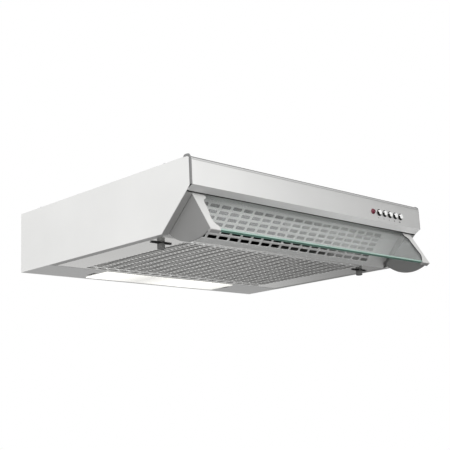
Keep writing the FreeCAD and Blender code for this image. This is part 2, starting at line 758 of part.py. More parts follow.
def make_visor_pivots():
    """Shouldered pins on the side panels that carry the cheeks."""
    for side, label in ((-1, "visor_pivot_left"), (1, "visor_pivot_right")):
        end = visor_half - d.cheek_thickness + d.pivot_end_gap
        start = end if side > 0 else -inner_half
        pin = rod("x", start, hinge_y, hinge_z, d.pivot_radius, inner_half - end)
        start = inner_half - d.pivot_flange_length if side > 0 else -inner_half
        shoulder = rod("x", start, hinge_y, hinge_z, d.pivot_flange_radius, d.pivot_flange_length)
        node(fuse(pin, shoulder), label)


# Lamp

def lens_front():
    return lamp_front + d.lens_setback


def make_rear_lamp_plate():
    """Fixed rear part of the underside, with the lens window and two finger slots."""
    body = new_body("rear_lamp_plate")
    gauge = d.sheet_gauge
    window_half = lens_half + d.lens_gap
    low, high = lens_front() - d.lens_gap, lens_front() + d.lens_depth + d.lens_gap
    drawing = sketch(body, "XY_Plane")
    rectangle(drawing, -inner_half, inner_half, lamp_front, back_inside)
    rectangle(drawing, -window_half, window_half, low, high)
    middle = lens_front() + d.lens_depth / 2
    for side in (-1, 1):
        near = side * (lens_half + d.finger_slot_gap)
        far = side * (lens_half + d.finger_slot_gap + d.finger_slot_width)
        rectangle(drawing, near, far, middle - d.finger_slot_length / 2, middle + d.finger_slot_length / 2)
    pad(body, drawing, gauge)
    walls = (
        (-inner_half, gauge - inner_half, lamp_front, back_inside),
        (inner_half - gauge, inner_half, lamp_front, back_inside),
        (-inner_half, inner_half, lamp_front, lamp_front + gauge),
    )
    for wall in walls:
        drawing = sketch(body, "XY_Plane")
        rectangle(drawing, *wall)
        pad(body, drawing, d.lamp_flange)
    node(body, "rear_lamp_plate")


def make_lamp_lens():
    """Frosted lens: a window that drops through the plate and a rim that rests on it."""
    body = new_body("lamp_lens")
    front, rear = lens_front(), lens_front() + d.lens_depth
    wide = lens_half
    drawing = sketch(body, "XY_Plane", -d.lens_proud)
    rectangle(drawing, -wide, wide, front, rear)
    pad(body, drawing, d.lens_proud + d.sheet_gauge)
    drawing = sketch(body, "XY_Plane", d.sheet_gauge)
    rectangle(drawing, -wide - d.lens_rim, wide + d.lens_rim, front - d.lens_rim, rear + d.lens_rim)
    pad(body, drawing, d.lens_rim_thickness)
    node(body, "lamp_lens")


def make_lamp_unit():
    """Reflector box over the lens with two holders and two candle bulbs facing each other."""
    margin = d.lens_rim + d.reflector_gap
    wide = lens_half + margin
    front, rear = lens_front() - margin, lens_front() + d.lens_depth + margin
    floor, gauge = d.sheet_gauge, d.reflector_gauge
    ceiling = floor + d.reflector_height
    shell = box(-wide - gauge, wide + gauge, front - gauge, rear + gauge, floor, ceiling + gauge)
    room = box(-wide, wide, front, rear, floor, ceiling)
    node(cut(shell, room), "lamp_reflector")
    y = lens_front() + d.lens_depth / 2
    z = floor + d.reflector_height / 2
    holders = []
    bulbs = []
    for side in (-1, 1):
        start = -wide if side < 0 else wide - d.holder_length
        holders.append(rod("x", start, y, z, d.holder_radius, d.holder_length))
        bulbs.append(make_bulb(side, side * (wide - d.holder_length), y, z))
    node(group(*holders), "lamp_holders")
    node(group(*bulbs), "lamp_bulbs")


def make_bulb(side, x, y, z):
    """Candle bulb turned about its own axis, pointing away from its holder."""
    body = new_body("bulb")
    drawing = sketch(body, "XY_Plane")
    neck, length = -side * d.bulb_neck_length, -side * d.bulb_length
    belly = -side * (d.bulb_neck_length + d.bulb_radius)
    loop(drawing, (
        (0, 0), (0, d.bulb_neck_radius), (neck, d.bulb_neck_radius), (belly, d.bulb_radius),
        (belly - side * d.bulb_radius, d.bulb_radius), (length, d.bulb_tip_radius), (length, 0),
    ))
    revolve(body, drawing, "X_Axis")
    bind(body, ".Placement.Base.x", x)
    bind(body, ".Placement.Base.y", y)
    bind(body, ".Placement.Base.z", z)
    return body


# Blower, motor and outlet

def scroll_outline(inset):
    """Volute that widens from the right round the front to the left, then runs straight to the rear."""
    start = d.scroll_start_radius - inset
    front = d.scroll_front_radius - inset
    side = d.scroll_side_radius - inset
    shift = d.scroll_start_radius - d.scroll_front_radius
    front_y = fan_y - d.scroll_front_radius + inset
    left_y = fan_y - d.scroll_front_radius + d.scroll_side_radius
    left_x = shift - side
    rear = scroll_rear - inset
    return (
        (left_x, left_y, side, 1), (shift, front_y, front, 1), (start, fan_y),
        (start, rear), (left_x, rear),
    )


def make_blower_scroll():
    """Blower housing: spiral wall and roof under the top panel, and a floor with the air inlet."""
    body = new_body("blower_scroll")
    roof = under_top - d.scroll_wall
    drawing = sketch(body, "XY_Plane", roof)
    loop(drawing, scroll_outline(Size(0, "0")))
    circle(drawing, 0, outlet_y, d.spigot_radius - d.spigot_wall)
    spigot_screw_holes(drawing)
    pad(body, drawing, d.scroll_wall)
    drawing = sketch(body, "XY_Plane", roof)
    loop(drawing, scroll_outline(Size(0, "0")))
    loop(drawing, scroll_outline(d.scroll_wall))
    pad(body, drawing, d.scroll_height, back=True)
    node(body, "blower_scroll")
    floor = new_body("blower_inlet_plate")
    drawing = sketch(floor, "XY_Plane", roof - d.scroll_height)
    loop(drawing, scroll_outline(Size(0, "0")))
    circle(drawing, 0, fan_y, d.inlet_radius)
    pad(floor, drawing, d.scroll_wall, back=True)
    node(floor, "blower_inlet_plate")


def make_motor():
    """Can motor hung under the roof of the housing, with its shaft pointing down."""
    roof = under_top - d.scroll_wall
    low = roof - d.motor_height
    body = new_body("blower_motor")
    drawing = sketch(body, "XZ_Plane")
    bore = d.shaft_radius + d.running_gap
    cap = low - d.motor_cap_height
    loop(drawing, (
        (0, roof), (0, low + d.shaft_depth), (bore, low + d.shaft_depth), (bore, cap),
        (d.motor_cap_radius, cap), (d.motor_cap_radius, low), (d.motor_radius, low), (d.motor_radius, roof),
    ))
    revolve(body, drawing, "Z_Axis")
    node(body, "blower_motor", y=fan_y)
    top = low + d.shaft_depth - d.pivot_end_gap
    shaft = rod("z", 0, 0, top - d.shaft_length, d.shaft_radius, d.shaft_length)
    node(group(shaft), "motor_shaft", y=fan_y)


def make_impeller():
    """Backward leaning blades between a plate on the hub and a ring round the inlet."""
    body = new_body("blower_impeller")
    plate_top = under_top - d.impeller_drop
    low = plate_top - d.impeller_height
    plate_low = plate_top - d.impeller_plate
    bore = d.shaft_radius + d.running_gap / 2
    drawing = sketch(body, "XZ_Plane")
    loop(drawing, (
        (bore, plate_top), (bore, plate_top - d.impeller_hub_length),
        (d.impeller_hub_radius, plate_top - d.impeller_hub_length), (d.impeller_hub_radius, plate_low),
        (d.impeller_radius, plate_low), (d.impeller_radius, plate_top),
    ))
    revolve(body, drawing, "Z_Axis")
    drawing = sketch(body, "XY_Plane", low)
    thick = d.blade_thickness / 2
    loop(drawing, (
        (d.blade_root_radius, -thick), (d.blade_tip_radius, -d.blade_lean - thick),
        (d.blade_tip_radius, thick - d.blade_lean), (d.blade_root_radius, thick),
    ))
    blade = pad(body, drawing, d.impeller_height - d.impeller_plate)
    ring = body.newObject("PartDesign::PolarPattern", "blades")
    ring.Originals = [blade]
    ring.Axis = (origin_part(body, "Z_Axis"), [""])
    ring.Angle = 360
    bind(ring, "Occurrences", d.blade_count)
    body.Tip = ring
    drawing = sketch(body, "XY_Plane", low)
    circle(drawing, 0, 0, d.impeller_radius)
    circle(drawing, 0, 0, d.impeller_radius - d.impeller_ring_width)
    pad(body, drawing, d.impeller_plate)
    node(body, "blower_impeller", y=fan_y)


def flap_floor():
    return d.hood_height + d.spigot_ledge_height + d.spigot_wall + d.flap_gap


def make_outlet():
    """Duct spigot with a ledge inside, two back draught flaps and the rod that they swing on."""
    body = new_body("outlet_spigot")
    bore = d.spigot_radius - d.spigot_wall
    top, floor = d.spigot_height, d.spigot_flange_thickness
    ledge_low, ledge_high = d.spigot_ledge_height, d.spigot_ledge_height + d.spigot_wall
    drawing = sketch(body, "XZ_Plane")
    loop(drawing, (
        (bore, 0), (d.spigot_radius + d.spigot_flange, 0), (d.spigot_radius + d.spigot_flange, floor),
        (d.spigot_radius, floor), (d.spigot_radius, top), (bore, top), (bore, ledge_high),
        (bore - d.spigot_ledge, ledge_high), (bore - d.spigot_ledge, ledge_low), (bore, ledge_low),
    ))
    revolve(body, drawing, "Z_Axis")
    drawing = sketch(body, "XY_Plane")
    spigot_screw_holes(drawing, 0)
    pocket(body, drawing)
    node(body, "outlet_spigot", y=outlet_y, z=d.hood_height)
    axis_z = flap_floor() + d.knuckle_radius
    reach = bore - d.rod_end_gap
    pivot = rod("x", -reach, 0, 0, d.flap_rod_radius, 2 * reach)
    node(group(pivot), "damper_rod", y=outlet_y, z=axis_z)
    for toward, label, offset in (
        (-1, "damper_flap_front", d.knuckle_front), (1, "damper_flap_rear", d.knuckle_rear),
    ):
        make_flap(toward, label, offset, bore - d.flap_gap, axis_z)


def make_flap(toward, label, offset, radius, axis_z):
    """Half round flap with two knuckles on the rod."""
    body = new_body(label)
    drawing = sketch(body, "XY_Plane", -d.knuckle_radius)
    near = toward * d.flap_hinge_gap
    reach = root(radius * radius - d.flap_hinge_gap * d.flap_hinge_gap)
    loop(drawing, (
        (-reach, near), (reach, near, radius, toward), (0, toward * radius, radius, toward),
    ))
    pad(body, drawing, d.flap_thickness)
    for side in (-1, 1):
        middle = side * offset
        drawing = sketch(body, "XY_Plane", -d.knuckle_radius)
        rectangle(drawing, middle - d.knuckle_length / 2, middle + d.knuckle_length / 2, 0, near + near)
        pad(body, drawing, d.flap_thickness)
        drawing = sketch(body, "YZ_Plane", middle - d.knuckle_length / 2)
        circle(drawing, 0, 0, d.knuckle_radius)
        pad(body, drawing, d.knuckle_length)
    drawing = sketch(body, "YZ_Plane")
    circle(drawing, 0, 0, d.flap_rod_radius + d.running_gap)
    pocket(body, drawing)
    node(body, label, y=outlet_y, z=axis_z)


# Controls

BUTTON_NAMES = ("lamp", "stop", "speed_1", "speed_2", "speed_3")


def button_x(index):
    return (half - d.control_inset) + index * d.button_pitch


def indicator_x():
    return (half - d.control_inset) - d.indicator_spacing


def turned_piece(label, profile, x):
    """Piece turned about the pressing direction; the profile is (distance behind the fascia, radius)."""
    body = new_body(label)
    drawing = sketch(body, "XY_Plane")
    loop(drawing, tuple((radius, depth) for depth, radius in profile))
    revolve(body, drawing, "Y_Axis")
    node(body, label, x=x, y=face_y, z=d.control_height)


def make_controls():
    """Five push buttons and a lamp in the fascia, with the switch block behind them."""
    face, crown = d.button_radius, d.button_crown
    profile = (
        (-d.button_proud, 0), (-d.button_proud, face - crown), (crown - d.button_proud, face),
        (d.button_depth, face), (d.button_depth, d.stem_radius),
        (d.stem_length, d.stem_radius), (d.stem_length, 0),
    )
    for index, name in enumerate(BUTTON_NAMES):
        turned_piece(f"push_button_{name}", profile, button_x(index))
    lens = d.indicator_radius - d.running_gap
    turned_piece("indicator_lamp", (
        (-d.indicator_proud, 0), (-d.indicator_proud, lens - d.indicator_proud), (0, lens),
        (d.indicator_length, lens), (d.indicator_length, 0),
    ), indicator_x())
    gauge = d.sheet_gauge
    last = len(BUTTON_NAMES) - 1
    low, high = indicator_x() - d.switch_margin, button_x(last) + d.switch_margin
    middle = d.control_height
    front = face_y + gauge
    block = box(low, high, front, front + d.switch_depth,
                middle - d.switch_height / 2, middle + d.switch_height / 2)
    bores = [rod("y", indicator_x(), front, middle, d.indicator_radius, d.indicator_length)]
    for index in range(len(BUTTON_NAMES)):
        x = button_x(index)
        bores.append(rod("y", x, front, middle, d.button_radius + d.button_gap, d.cap_room))
        stem = d.stem_radius + d.running_gap
        bores.append(rod("y", x, front, middle, stem, d.switch_depth - d.switch_floor))
    node(cut(block, *bores), "switch_block")


# Wiring

def make_wiring():
    """Terminal box, motor capacitor, cable gland and the looms to the switches and the lamp."""
    rear = back_inside
    left = d.terminal_inset - inner_half
    top = under_top - d.terminal_drop
    box_front = rear - d.terminal_depth
    case = box(left, left + d.terminal_width, box_front, rear, top - d.terminal_height, top)
    node(group(case), "terminal_box")
    can = rod("z", d.capacitor_inset - half, outlet_y, under_top - d.capacitor_length,
              d.capacitor_radius, d.capacitor_length)
    node(group(can), "motor_capacitor")
    stem = rod("z", 0, 0, -d.gland_nut_height, d.gland_radius, d.gland_nut_height + d.gland_height)
    nut = rod("z", 0, 0, d.sheet_gauge, d.gland_nut_radius, d.gland_nut_height)
    bore = rod("z", 0, 0, -d.gland_nut_height, d.gland_bore_radius, d.gland_nut_height + d.gland_height)
    gland_y = d.hood_depth - d.gland_rear_inset
    node(cut(fuse(stem, nut), bore), "cable_gland", x=d.gland_inset - half, y=gland_y, z=under_top)
    low = top - d.terminal_height
    middle = left + d.terminal_width / 2
    last = button_x(len(BUTTON_NAMES) - 1)
    switch_x = (indicator_x() + last) / 2
    level = d.control_height
    make_loom("wire_loom", (
        (middle, box_front, level), (middle, d.loom_front, level),
        (switch_x, d.loom_front, level), (switch_x, face_y + d.sheet_gauge + d.switch_depth, level),
    ))
    lamp_y = lens_front() + d.lens_depth / 2
    lamp_z = d.sheet_gauge + d.reflector_height / 2
    margin = d.lens_rim + d.reflector_gap + d.reflector_gauge
    lamp_end = -lens_half - margin
    make_loom("lamp_loom", ((middle, lamp_y, low), (middle, lamp_y, lamp_z), (lamp_end, lamp_y, lamp_z)))


def make_loom(label, corners):
    """Round loom along straight runs that are joined by tangent bends."""
    points = [FreeCAD.Vector(*(number(size) for size in corner)) for corner in corners]
    bend = d.loom_bend.value
    edges = []
    start = points[0]
    for before, corner, after in zip(points, points[1:], points[2:]):
        back, ahead = (before - corner).normalize(), (after - corner).normalize()
        reach = min(bend, (after - corner).Length, (start - corner).Length)
        first, last = corner + back * reach, corner + ahead * reach
        centre = corner + (back + ahead) * reach
        middle = centre - (back + ahead).normalize() * reach
        if (first - start).Length > d.seam_gap.value / 2:
            edges.append(Part.LineSegment(start, first).toShape())
        edges.append(Part.Arc(first, middle, last).toShape())
        start = last
    if (points[-1] - start).Length > d.seam_gap.value / 2:
        edges.append(Part.LineSegment(start, points[-1]).toShape())
    path = Part.Wire(edges)
    heading = points[1] - points[0]
    section = Part.Wire([Part.Circle(points[0], heading, d.loom_radius.value).toShape()])
    loom = doc.addObject("Part::Feature", label)
    loom.Shape = path.makePipeShell([section], True, False)
    expected = math.pi * d.loom_radius.value ** 2 * path.Length
    print(f"{label} volume {loom.Shape.Volume:.0f} against section times length {expected:.0f}")
    node(loom, label)


# Screws

def make_screw(x, y, z):
    length = d.screw_length
    shank = rod("z", x, y, z - length, d.screw_radius, length)
    head = rod("z", x, y, z, d.screw_head_radius, d.screw_head_height)
    return fuse(shank, head)


def make_screws():
    """Pan head screws of the top panel and of the spigot flange."""
    screws = []
    for side in (-1, 1):
        for y in screw_rows():
            screws.append(make_screw(side * screw_column(), y, d.hood_height))
    node(group(*screws), "top_screws")
    seat = d.hood_height + d.spigot_flange_thickness
    ring = [make_screw(x, y + outlet_y, seat) for x, y in spigot_screw_points()]
    node(group(*ring), "spigot_screws")


def build():
    for side, hand in ((-1, "left"), (1, "right")):
        make_side_panel(side, f"side_panel_{hand}")
        make_latch(side, f"grille_latch_{hand}")
        make_visor_cheek(side, f"visor_cheek_{hand}")
    make_top_panel()
    make_back_panel()
    make_front_fascia()
    make_front_grille()
    make_grille_hangers()
    make_filter_tray()
    make_tray_hinges()
    make_grease_filter()
    make_visor_glass()
    make_visor_pivots()
    make_rear_lamp_plate()
    make_lamp_lens()
    make_lamp_unit()
    make_blower_scroll()
    make_motor()
    make_impeller()
    make_outlet()
    make_controls()
    make_wiring()
    make_screws()
    doc.recompute()


def check():
    for thing in doc.Objects:
        if {"Invalid", "Error"} & set(thing.State):
            raise RuntimeError(f"{thing.Name} ({thing.Label}) failed: {thing.State}")
    for label, thing in nodes.items():
        if thing.Shape.isNull() or not thing.Shape.isValid() or not thing.Shape.Solids:
            raise RuntimeError(f"{label} has no valid solid")


build()
check()
os.makedirs("parts", exist_ok=True)
for label, thing in nodes.items():
    thing.Shape.exportStep(f"parts/{label}.step")
print(f"{len(nodes)} nodes written")
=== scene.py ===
import json
import math

import bmesh
import bpy
from mathutils import Matrix, Vector


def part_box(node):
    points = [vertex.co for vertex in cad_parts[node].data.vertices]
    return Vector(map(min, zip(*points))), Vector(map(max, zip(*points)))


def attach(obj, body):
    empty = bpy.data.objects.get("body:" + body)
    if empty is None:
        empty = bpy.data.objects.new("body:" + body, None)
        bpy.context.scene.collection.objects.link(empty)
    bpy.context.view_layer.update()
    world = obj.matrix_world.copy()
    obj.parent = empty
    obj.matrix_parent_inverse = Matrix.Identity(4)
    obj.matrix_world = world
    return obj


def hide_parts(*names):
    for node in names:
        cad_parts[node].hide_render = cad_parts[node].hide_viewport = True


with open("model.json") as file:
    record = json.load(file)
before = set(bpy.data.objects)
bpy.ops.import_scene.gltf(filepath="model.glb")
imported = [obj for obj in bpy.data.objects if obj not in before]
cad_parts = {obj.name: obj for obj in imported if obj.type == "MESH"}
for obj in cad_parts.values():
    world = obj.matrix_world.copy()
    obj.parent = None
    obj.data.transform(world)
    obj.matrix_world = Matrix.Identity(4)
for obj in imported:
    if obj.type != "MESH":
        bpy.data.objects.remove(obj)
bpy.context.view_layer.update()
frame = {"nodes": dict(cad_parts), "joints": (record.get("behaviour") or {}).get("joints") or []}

# Visor range hood: visible pieces, finishes, light and camera.
# Lengths are millimetres in the hood's own layout: x from the middle, y from the front face back,
# z up from the underside. The row frame has its origin at the cabinet screws on the top face.

MM = 0.001
DATUM = Vector((0, 250, 110))
JOINTS = {joint["name"]: joint for joint in frame["joints"]}
SIDES = ((-1, "left"), (1, "right"))

# Casing
HALF = 300
HEIGHT = 110
SHEET = 0.8
SLOPE_RUN = 68
SLOPE_RISE = 64
SLANT = math.hypot(SLOPE_RUN, SLOPE_RISE)
SLOPE_TILT = math.atan2(SLOPE_RISE, SLOPE_RUN)


def row(x, y, z):
    """Point of the hood layout in the row frame."""
    return (Vector((x, y, z)) - DATUM) * MM


def layout(point):
    """Point of the row frame in the hood layout."""
    return Vector(point) / MM + DATUM


def node_box(name):
    """Lowest and highest corner of a CAD node in the hood layout."""
    low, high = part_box(name)
    return layout(low), layout(high)


def middle_x(node):
    low, high = node_box(node)
    return (low.x + high.x) / 2


def span(side, outer, inner):
    """The two distances from the middle as low and high x on one side."""
    return sorted((side * outer, side * inner))


# Mesh helpers

MERGE_DISTANCE = 1e-7
SMOOTH_BELOW = math.radians(38)
SOFTEN_ABOVE = math.radians(30)
SOFTEN_STEPS = 2
ROUND_PROFILE = 0.5
LATHE_STEPS = 32
SLOT_CORNER_STEPS = 3
CORNER_SIGNS = ((1, 1), (-1, 1), (-1, -1), (1, -1))


def add_object(name, data):
    thing = bpy.data.objects.new(name, data)
    bpy.context.scene.collection.objects.link(thing)
    return thing


def mesh_data(name, mesh):
    data = bpy.data.meshes.new(name)
    mesh.to_mesh(data)
    mesh.free()
    return data


def add_piece(name, mesh, body, slot, *finishes, replaces=()):
    """Piece that rides on a body; the faces of its mesh choose among the finishes."""
    bmesh.ops.remove_doubles(mesh, verts=mesh.verts, dist=MERGE_DISTANCE)
    bmesh.ops.recalc_face_normals(mesh, faces=mesh.faces)
    data = mesh_data(name, mesh)
    for polygon in data.polygons:
        polygon.use_smooth = True
    data.set_sharp_from_angle(angle=SMOOTH_BELOW)
    for finish in finishes:
        data.materials.append(FINISH[finish])
    piece = add_object(name, data)
    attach(piece, body)
    if replaces:
        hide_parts(*replaces)


def soften(mesh, width):
    """Bevel every sharp edge."""
    edges = [edge for edge in mesh.edges
             if len(edge.link_faces) == 2 and edge.calc_face_angle() > SOFTEN_ABOVE]
    bmesh.ops.bevel(mesh, geom=edges, offset=width * MM, segments=SOFTEN_STEPS,
                    profile=ROUND_PROFILE, affect="EDGES", clamp_overlap=True)


def across(place):
    """Placement for an outline drawn in y and z that runs along x."""
    return lambda y, z, x: place(x, y, z)


def add_prism(mesh, outline, low, high, place, finish=0):
    """Solid between two copies of a flat outline; place turns (u, v, w) into a row point.
    The faces come back as the two ends, then one for each edge of the outline."""
    ends = [[mesh.verts.new(place(u, v, w)) for u, v in outline] for w in (low, high)]
    faces = [mesh.faces.new(ends[0]), mesh.faces.new(ends[1])]
    count = len(outline)
    for index in range(count):
        after = (index + 1) % count
        corners = (ends[0][index], ends[0][after], ends[1][after], ends[1][index])
        faces.append(mesh.faces.new(corners))
    for face in faces:
        face.material_index = finish
    return faces


def add_box(mesh, low, high, place=row, finish=0):
    corners = ((low[0], low[1]), (high[0], low[1]), (high[0], high[1]), (low[0], high[1]))
    return add_prism(mesh, corners, low[2], high[2], place, finish)


def add_tube(mesh, ring, following):
    """Faces between two closed rings of vertices."""
    for index in range(len(ring)):
        after = (index + 1) % len(ring)
        mesh.faces.new((ring[index], ring[after], following[after], following[index]))


def add_lathe(mesh, profile, place, steps=LATHE_STEPS, finish=0):
    """Turned form from (distance along the axis, radius) pairs."""
    angles = [2 * math.pi * step / steps for step in range(steps)]
    rings = []
    for along, radius in profile:
        if radius == 0:
            rings.append([mesh.verts.new(place(along, 0, 0))])
            continue
        rings.append([mesh.verts.new(place(along, radius * math.cos(a), radius * math.sin(a)))
                      for a in angles])
    for ring, following in zip(rings, rings[1:]):
        for step in range(steps):
            after = (step + 1) % steps
            loop = [ring[step % len(ring)], ring[after % len(ring)],
                    following[after % len(following)], following[step % len(following)]]
            corners = list(dict.fromkeys(loop))
            if len(corners) > 2:
                mesh.faces.new(corners).material_index = finish


def arc(centre, radius, start, end, steps):
    """Points of an arc, in degrees."""
    points = []
    for step in range(steps + 1):
        angle = math.radians(start + (end - start) * step / steps)
        points.append((centre[0] + radius * math.cos(angle), centre[1] + radius * math.sin(angle)))
    return points


def smooth_run(points, steps):
    """Smooth curve through points."""
    run = []
    padded = [points[0], *points, points[-1]]
    for knots in zip(padded, padded[1:], padded[2:], padded[3:]):
        for step in range(steps):
            t = step / steps
            weights = (-t + 2 * t ** 2 - t ** 3, 2 - 5 * t ** 2 + 3 * t ** 3,
                       t + 4 * t ** 2 - 3 * t ** 3, t ** 3 - t ** 2)
            run.append(tuple(sum(w * knot[axis] for w, knot in zip(weights, knots)) / 2
                             for axis in (0, 1)))
    run.append(points[-1])
    return run


def slot_ring(centre, size, radius):
    """Rounded slot outline, corner by corner, anticlockwise."""
    ring = []
    for quarter, (aside, up) in enumerate(CORNER_SIGNS):
        middle = (centre[0] + aside * (size[0] / 2 - radius),
                  centre[1] + up * (size[1] / 2 - radius))
        ring.append(arc(middle, radius, 90 * quarter, 90 * quarter + 90, SLOT_CORNER_STEPS))
    return ring


def add_pierced_sheet(mesh, x_lines, y_lines, slots, rim, place, sink=0):
    """Sheet over a grid of cells. slots gives (centre, size, corner radius) for each pierced cell.
    The outer face, at depth 0, sinks into each slot over the rim's width and depth,
    and by sink wherever four slots meet."""
    layers = []
    for depth in (0, SHEET):
        layer = {}
        for i, x in enumerate(x_lines):
            for j, y in enumerate(y_lines):
                among = all((i - a, j - b) in slots for a in (0, 1) for b in (0, 1))
                layer[i, j] = mesh.verts.new(place(x, y, depth + sink * among))
        layers.append(layer)
    columns, rows = len(x_lines) - 1, len(y_lines) - 1
    for i in range(columns):
        for j in range(rows):
            keys = ((i + 1, j + 1), (i, j + 1), (i, j), (i + 1, j))
            if (i, j) in slots:
                add_slot(mesh, [[layer[key] for key in keys] for layer in layers],
                         slots[i, j], rim, place)
                continue
            for layer in layers:
                mesh.faces.new([layer[key] for key in keys])
    edge = [(i, 0) for i in range(columns)] + [(columns, j) for j in range(rows)]
    edge += [(i, rows) for i in range(columns, 0, -1)] + [(0, j) for j in range(rows, 0, -1)]
    add_tube(mesh, *([layer[key] for key in edge] for layer in layers))


def add_slot(mesh, cells, slot, rim, place):
    """Slot with a sunk rim; cells holds the corners of its cell on each face of the sheet."""
    centre, size, radius = slot
    grown = (size[0] + 2 * rim[0], size[1] + 2 * rim[0])
    rings = []
    for outline, depth in ((slot_ring(centre, grown, radius + rim[0]), 0),
                           (slot_ring(centre, size, radius), rim[1]),
                           (slot_ring(centre, size, radius), SHEET)):
        rings.append([[mesh.verts.new(place(x, y, depth)) for x, y in corner]
                      for corner in outline])
    for corners, ring in ((cells[0], rings[0]), (cells[1], rings[2])):
        join_cell(mesh, corners, ring)
    for ring, following in zip(rings, rings[1:]):
        add_tube(mesh, sum(ring, []), sum(following, []))


def join_cell(mesh, corners, ring):
    """Face of the sheet between a cell's corners and the slot in it."""
    for quarter, corner in enumerate(corners):
        points = ring[quarter]
        for start, end in zip(points, points[1:]):
            mesh.faces.new((corner, start, end))
        after = (quarter + 1) % len(corners)
        mesh.faces.new((corner, points[-1], ring[after][0], corners[after]))


# Shader helpers

NOISE_RANGE = (0.3, 0.7)
PLAIN = (1, 1, 1)


def finish_nodes(name):
    finish = bpy.data.materials.new(name)
    finish.use_nodes = True
    tree = finish.node_tree
    shader = next(node for node in tree.nodes if node.type == "BSDF_PRINCIPLED")
    return finish, tree, shader


def link(tree, source, target):
    tree.links.new(source, target)


def set_sockets(node, values):
    for socket, value in values.items():
        node.inputs[socket].default_value = value


def space(tree, stretch=PLAIN):
    """Object coordinates, in metres, stretched along an axis."""
    coordinates = tree.nodes.new("ShaderNodeTexCoord")
    mapping = tree.nodes.new("ShaderNodeMapping")
    mapping.inputs["Scale"].default_value = stretch
    link(tree, coordinates.outputs["Object"], mapping.inputs["Vector"])
    return mapping.outputs["Vector"]


def on_axis(tree, axis):
    """Place on an axis of the row frame, in metres."""
    coordinates = tree.nodes.new("ShaderNodeTexCoord")
    split = tree.nodes.new("ShaderNodeSeparateXYZ")
    link(tree, coordinates.outputs["Object"], split.inputs["Vector"])
    return split.outputs[axis]


def noise(tree, vector, scale, detail=3):
    texture = tree.nodes.new("ShaderNodeTexNoise")
    set_sockets(texture, {"Scale": scale, "Detail": detail})
    link(tree, vector, texture.inputs["Vector"])
    return texture.outputs["Fac"]


def map_range(tree, source, start, end, low=0, high=1, soft=False):
    """Value that runs from low to high while the source runs from start to end."""
    node = tree.nodes.new("ShaderNodeMapRange")
    if soft:
        node.interpolation_type = "SMOOTHSTEP"
    set_sockets(node, {"From Min": start, "From Max": end, "To Min": low, "To Max": high})
    link(tree, source, node.inputs["Value"])
    return node.outputs["Result"]


def math_node(tree, operation, *sources):
    node = tree.nodes.new("ShaderNodeMath")
    node.operation = operation
    for socket, source in zip(node.inputs, sources):
        if isinstance(source, float):
            socket.default_value = source
        else:
            link(tree, source, socket)
    return node.outputs[0]


def spread(tree, source, low, high):
    """Turn a noise value into a range of values."""
    return map_range(tree, source, *NOISE_RANGE, low, high)


def ramp(tree, source, stops):
    """Colour that runs through (position, colour) stops."""
    node = tree.nodes.new("ShaderNodeValToRGB")
    elements = node.color_ramp.elements
    while len(elements) < len(stops):
        elements.new(0.5)
    for element, (position, colour) in zip(elements, stops):
        element.position = position
        element.color = (*colour, 1)
    link(tree, source, node.inputs["Fac"])
    return node.outputs["Color"]


def tint(tree, source, dark, light):
    """Turn a noise value into a range of colours."""
    return ramp(tree, source, tuple(zip(NOISE_RANGE, (dark, light))))


def grey_levels(levels):
    return [(position, (level, level, level)) for position, level in levels]


def times(tree, colour, share):
    node = tree.nodes.new("ShaderNodeVectorMath")
    node.operation = "SCALE"
    link(tree, colour, node.inputs[0])
    link(tree, share, node.inputs["Scale"])
    return node.outputs["Vector"]


def bump(tree, source, shader, depth, strength=0.5):
    node = tree.nodes.new("ShaderNodeBump")
    set_sockets(node, {"Strength": strength, "Distance": depth * MM})
    link(tree, source, node.inputs["Height"])
    link(tree, node.outputs["Normal"], shader.inputs["Normal"])


def mix_shaders(tree, share, first, second, output):
    mix = tree.nodes.new("ShaderNodeMixShader")
    link(tree, share, mix.inputs["Fac"])
    link(tree, first.outputs[0], mix.inputs[1])
    link(tree, second.outputs[0], mix.inputs[2])
    link(tree, mix.outputs[0], tree.nodes[output].inputs["Surface"])


def shade(colour, share):
    return tuple(min(channel * share, 1) for channel in colour)


# Finishes

FINE_DETAIL = 2
LENS_REACH = 215
LENS_DIM = 50
LENS_GLOW = (
    # share of the reach from the dim place between the bulbs, brightness
    (0.0, 0.42), (0.55, 1.0), (1.0, 0.55),
)


def textured(name, colour, rough, mottle, swing, patch, stretch, grain, depth, run=None):
    """Finish with slight mottling in patches, uneven gloss and a fine surface texture.
    run gives (axis, start, end, low, high) for a tone that changes along the piece: painted light
    and shade."""
    finish, tree, shader = finish_nodes(name)
    cloud = noise(tree, space(tree), patch)
    tone = tint(tree, cloud, shade(colour, 1 - mottle), shade(colour, 1 + mottle))
    # painted light and shade: the tone is scaled along one axis of the piece
    if run:
        axis, start, end, low, high = run
        share = map_range(tree, on_axis(tree, axis), start * MM, end * MM, low, high)
        tone = times(tree, tone, share)
    link(tree, tone, shader.inputs["Base Color"])
    fine = noise(tree, space(tree, stretch), grain, FINE_DETAIL)
    gloss = spread(tree, fine, rough * (1 - swing), rough * (1 + swing))
    link(tree, gloss, shader.inputs["Roughness"])
    bump(tree, fine, shader, depth)
    return finish, shader


def coated_sheet(name, colour, metallic, rough, stretch=PLAIN, grain=900, depth=0.02, run=None):
    """Lacquered or brushed sheet."""
    finish, shader = textured(name, colour, rough, mottle=0.03, swing=0.15, patch=6,
                              stretch=stretch, grain=grain, depth=depth, run=run)
    set_sockets(shader, {"Metallic": metallic})
    return finish


def moulded(name, colour, rough, grain=1400, depth=0.04, coat=0.0, gloss=0.5):
    """Moulded plastic with a spark-eroded grain."""
    finish, shader = textured(name, colour, rough, mottle=0.06, swing=0.1, patch=14,
                              stretch=PLAIN, grain=grain, depth=depth)
    set_sockets(shader, {"Coat Weight": coat, "Specular IOR Level": gloss})
    return finish


